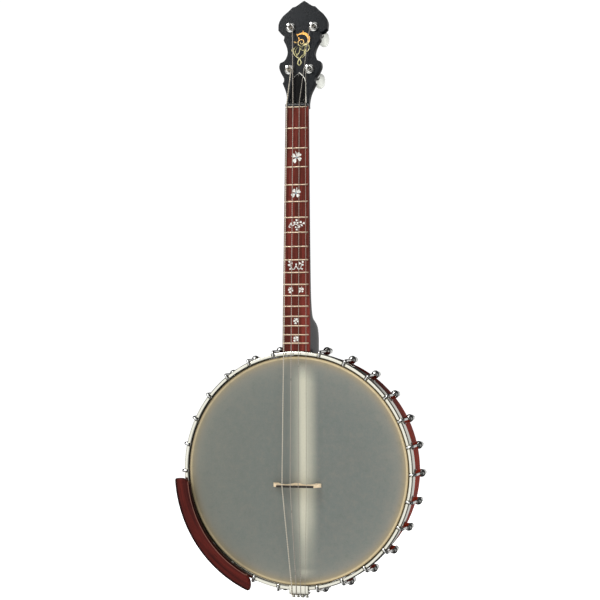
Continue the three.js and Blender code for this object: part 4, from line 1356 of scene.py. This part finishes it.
FLOOR_DROP = 0.16


def make_floor():
    """White paper, lit from behind, so wide that its edge is lost in the white background."""
    half = 60
    mesh = bpy.data.meshes.new("floor")
    corners = [(-half, -half, 0), (half, -half, 0), (half, half, 0), (-half, half, 0)]
    mesh.from_pydata(corners, [], [(0, 1, 2, 3)])
    floor = shown("floor", mesh)
    floor.location.z = CAD_BOX[0].z - FLOOR_DROP
    floor.visible_glossy = False
    finish = Finish("floor_paper", Roughness=0.9, Specular_IOR_Level=0.1, Emission_Strength=0.96)
    paper = finish.ramp(finish.noise(3, 2), [(0.3, rgb(238, 238, 236)), (0.7, rgb(244, 244, 243))])
    finish.tree.links.new(paper, finish.shader.inputs["Base Color"])
    finish.set("Emission Color", (1, 1, 1))
    mesh.materials.append(finish.material)


def make_light(name, place, target, size, power, tall=None, reflected=True):
    light = bpy.data.lights.new(name, "AREA")
    light.energy = power
    light.size = size
    if tall:
        light.shape = "RECTANGLE"
        light.size_y = tall
    lamp = shown(name, light)
    lamp.location = place
    lamp.visible_glossy = reflected
    lamp.rotation_mode = "QUATERNION"
    lamp.rotation_quaternion = (Vector(target) - Vector(place)).to_track_quat("-Z", "Y")


# The studio as the metal and the lacquer reflect it: dark, with soft bright areas.
# (direction, half angle of its full brightness, half angle where it ends, brightness)
STUDIO_DARK = 0.035
STUDIO_PANELS = [
    ((-0.30, -0.95, 0.0), 13, 24, 1.05),
    ((-0.25, -0.35, 1.0), 12, 30, 0.5),
    ((-1.0, -0.3, -0.1), 20, 38, 0.85),
    ((-0.5, -0.6, -0.65), 14, 28, 0.9),
    ((1.0, -0.25, -0.25), 10, 36, 0.3),
    ((0.75, -0.6, 0.25), 4, 10, 0.6),
    ((-0.297, -0.853, 0.427), 12, 22, 1.0),
    ((0.22, 0.95, -0.05), 15, 25, 0.62),
    ((-0.5, 0.8, -0.3), 6, 16, 0.3),
]


def make_world():
    """White where it is seen, and a studio of soft bright panels where it is reflected."""
    world = bpy.data.worlds.new("studio")
    bpy.context.scene.world = world
    world.use_nodes = True
    tree = world.node_tree

    towards = add_node(tree, "TexCoord").outputs["Generated"]
    strength = STUDIO_DARK
    for direction, inner, outer, brightness in STUDIO_PANELS:
        aim = tuple(Vector(direction).normalized())
        cosine = add_node(tree, "VectorMath", {0: towards, 1: aim}, operation="DOT_PRODUCT").outputs["Value"]
        limits = {"Value": cosine, "From Min": cos(radians(outer)),
                  "From Max": cos(radians(inner)), "To Min": 0.0, "To Max": brightness}
        panel = add_node(tree, "MapRange", limits, interpolation_type="SMOOTHSTEP").outputs["Result"]
        strength = add_node(tree, "Math", {0: panel, 1: strength}, operation="ADD").outputs[0]
    reflected = add_node(tree, "Background", {"Color": (1, 1, 1, 1), "Strength": strength}).outputs[0]
    seen = add_node(tree, "Background", {"Color": (1, 1, 1, 1), "Strength": 1.05}).outputs[0]
    is_seen = add_node(tree, "LightPath").outputs["Is Camera Ray"]
    mixed = add_node(tree, "MixShader", {0: is_seen, 1: reflected, 2: seen}).outputs[0]
    tree.links.new(mixed, tree.nodes["World Output"].inputs["Surface"])


# The camera stands to the first string's side of the front, about level with the middle of the banjo's
# height. Its distance is in metres, its angles in degrees, and the picture shows width_seen millimetres.
CAMERA = Sizes(distance=3.0, turn=17.287, pitch=-0.123, roll=-0.408, width_seen=930.36)
AIM = Vector((0, 0, 300))
AIM_SHIFT = Vector((6.34, 0, -35.24))


def make_camera():
    turn, pitch, roll = radians(CAMERA.turn), radians(CAMERA.pitch), radians(CAMERA.roll)
    axes = Matrix.Rotation(turn, 3, "Z") @ Matrix.Rotation(-pitch, 3, "X") @ Matrix.Rotation(-roll, 3, "Y")
    right, forwards, up = axes.col[0], axes.col[1], axes.col[2]
    data = bpy.data.cameras.new("camera")
    data.lens = CAMERA.distance / (CAMERA.width_seen * MM) * data.sensor_width
    camera = shown("camera", data)
    aim = POT_CENTRE + (AIM + AIM_SHIFT.x * right + AIM_SHIFT.z * up) * MM
    place = Matrix((right, up, -forwards)).transposed().to_4x4()
    place.translation = aim - forwards * CAMERA.distance
    camera.matrix_world = place
    bpy.context.scene.camera = camera


make_floor()
make_world()
middle = (CAD_BOX[0] + CAD_BOX[1]) / 2
make_light("key", middle + Vector((-1.5, -1.9, 2.6)), middle, 1.3, 72)
make_light("fill", middle + Vector((2.4, -2.2, 1.0)), middle, 1.4, 30, reflected=False)
make_light("side", middle + Vector((3.0, 0.3, 0.3)), middle, 0.8, 30, tall=2.0, reflected=False)
make_light("back", middle + Vector((-0.8, 2.8, 1.4)), middle, 1.6, 26, reflected=False)
make_camera()
bpy.context.scene.view_settings.view_transform = "Standard"
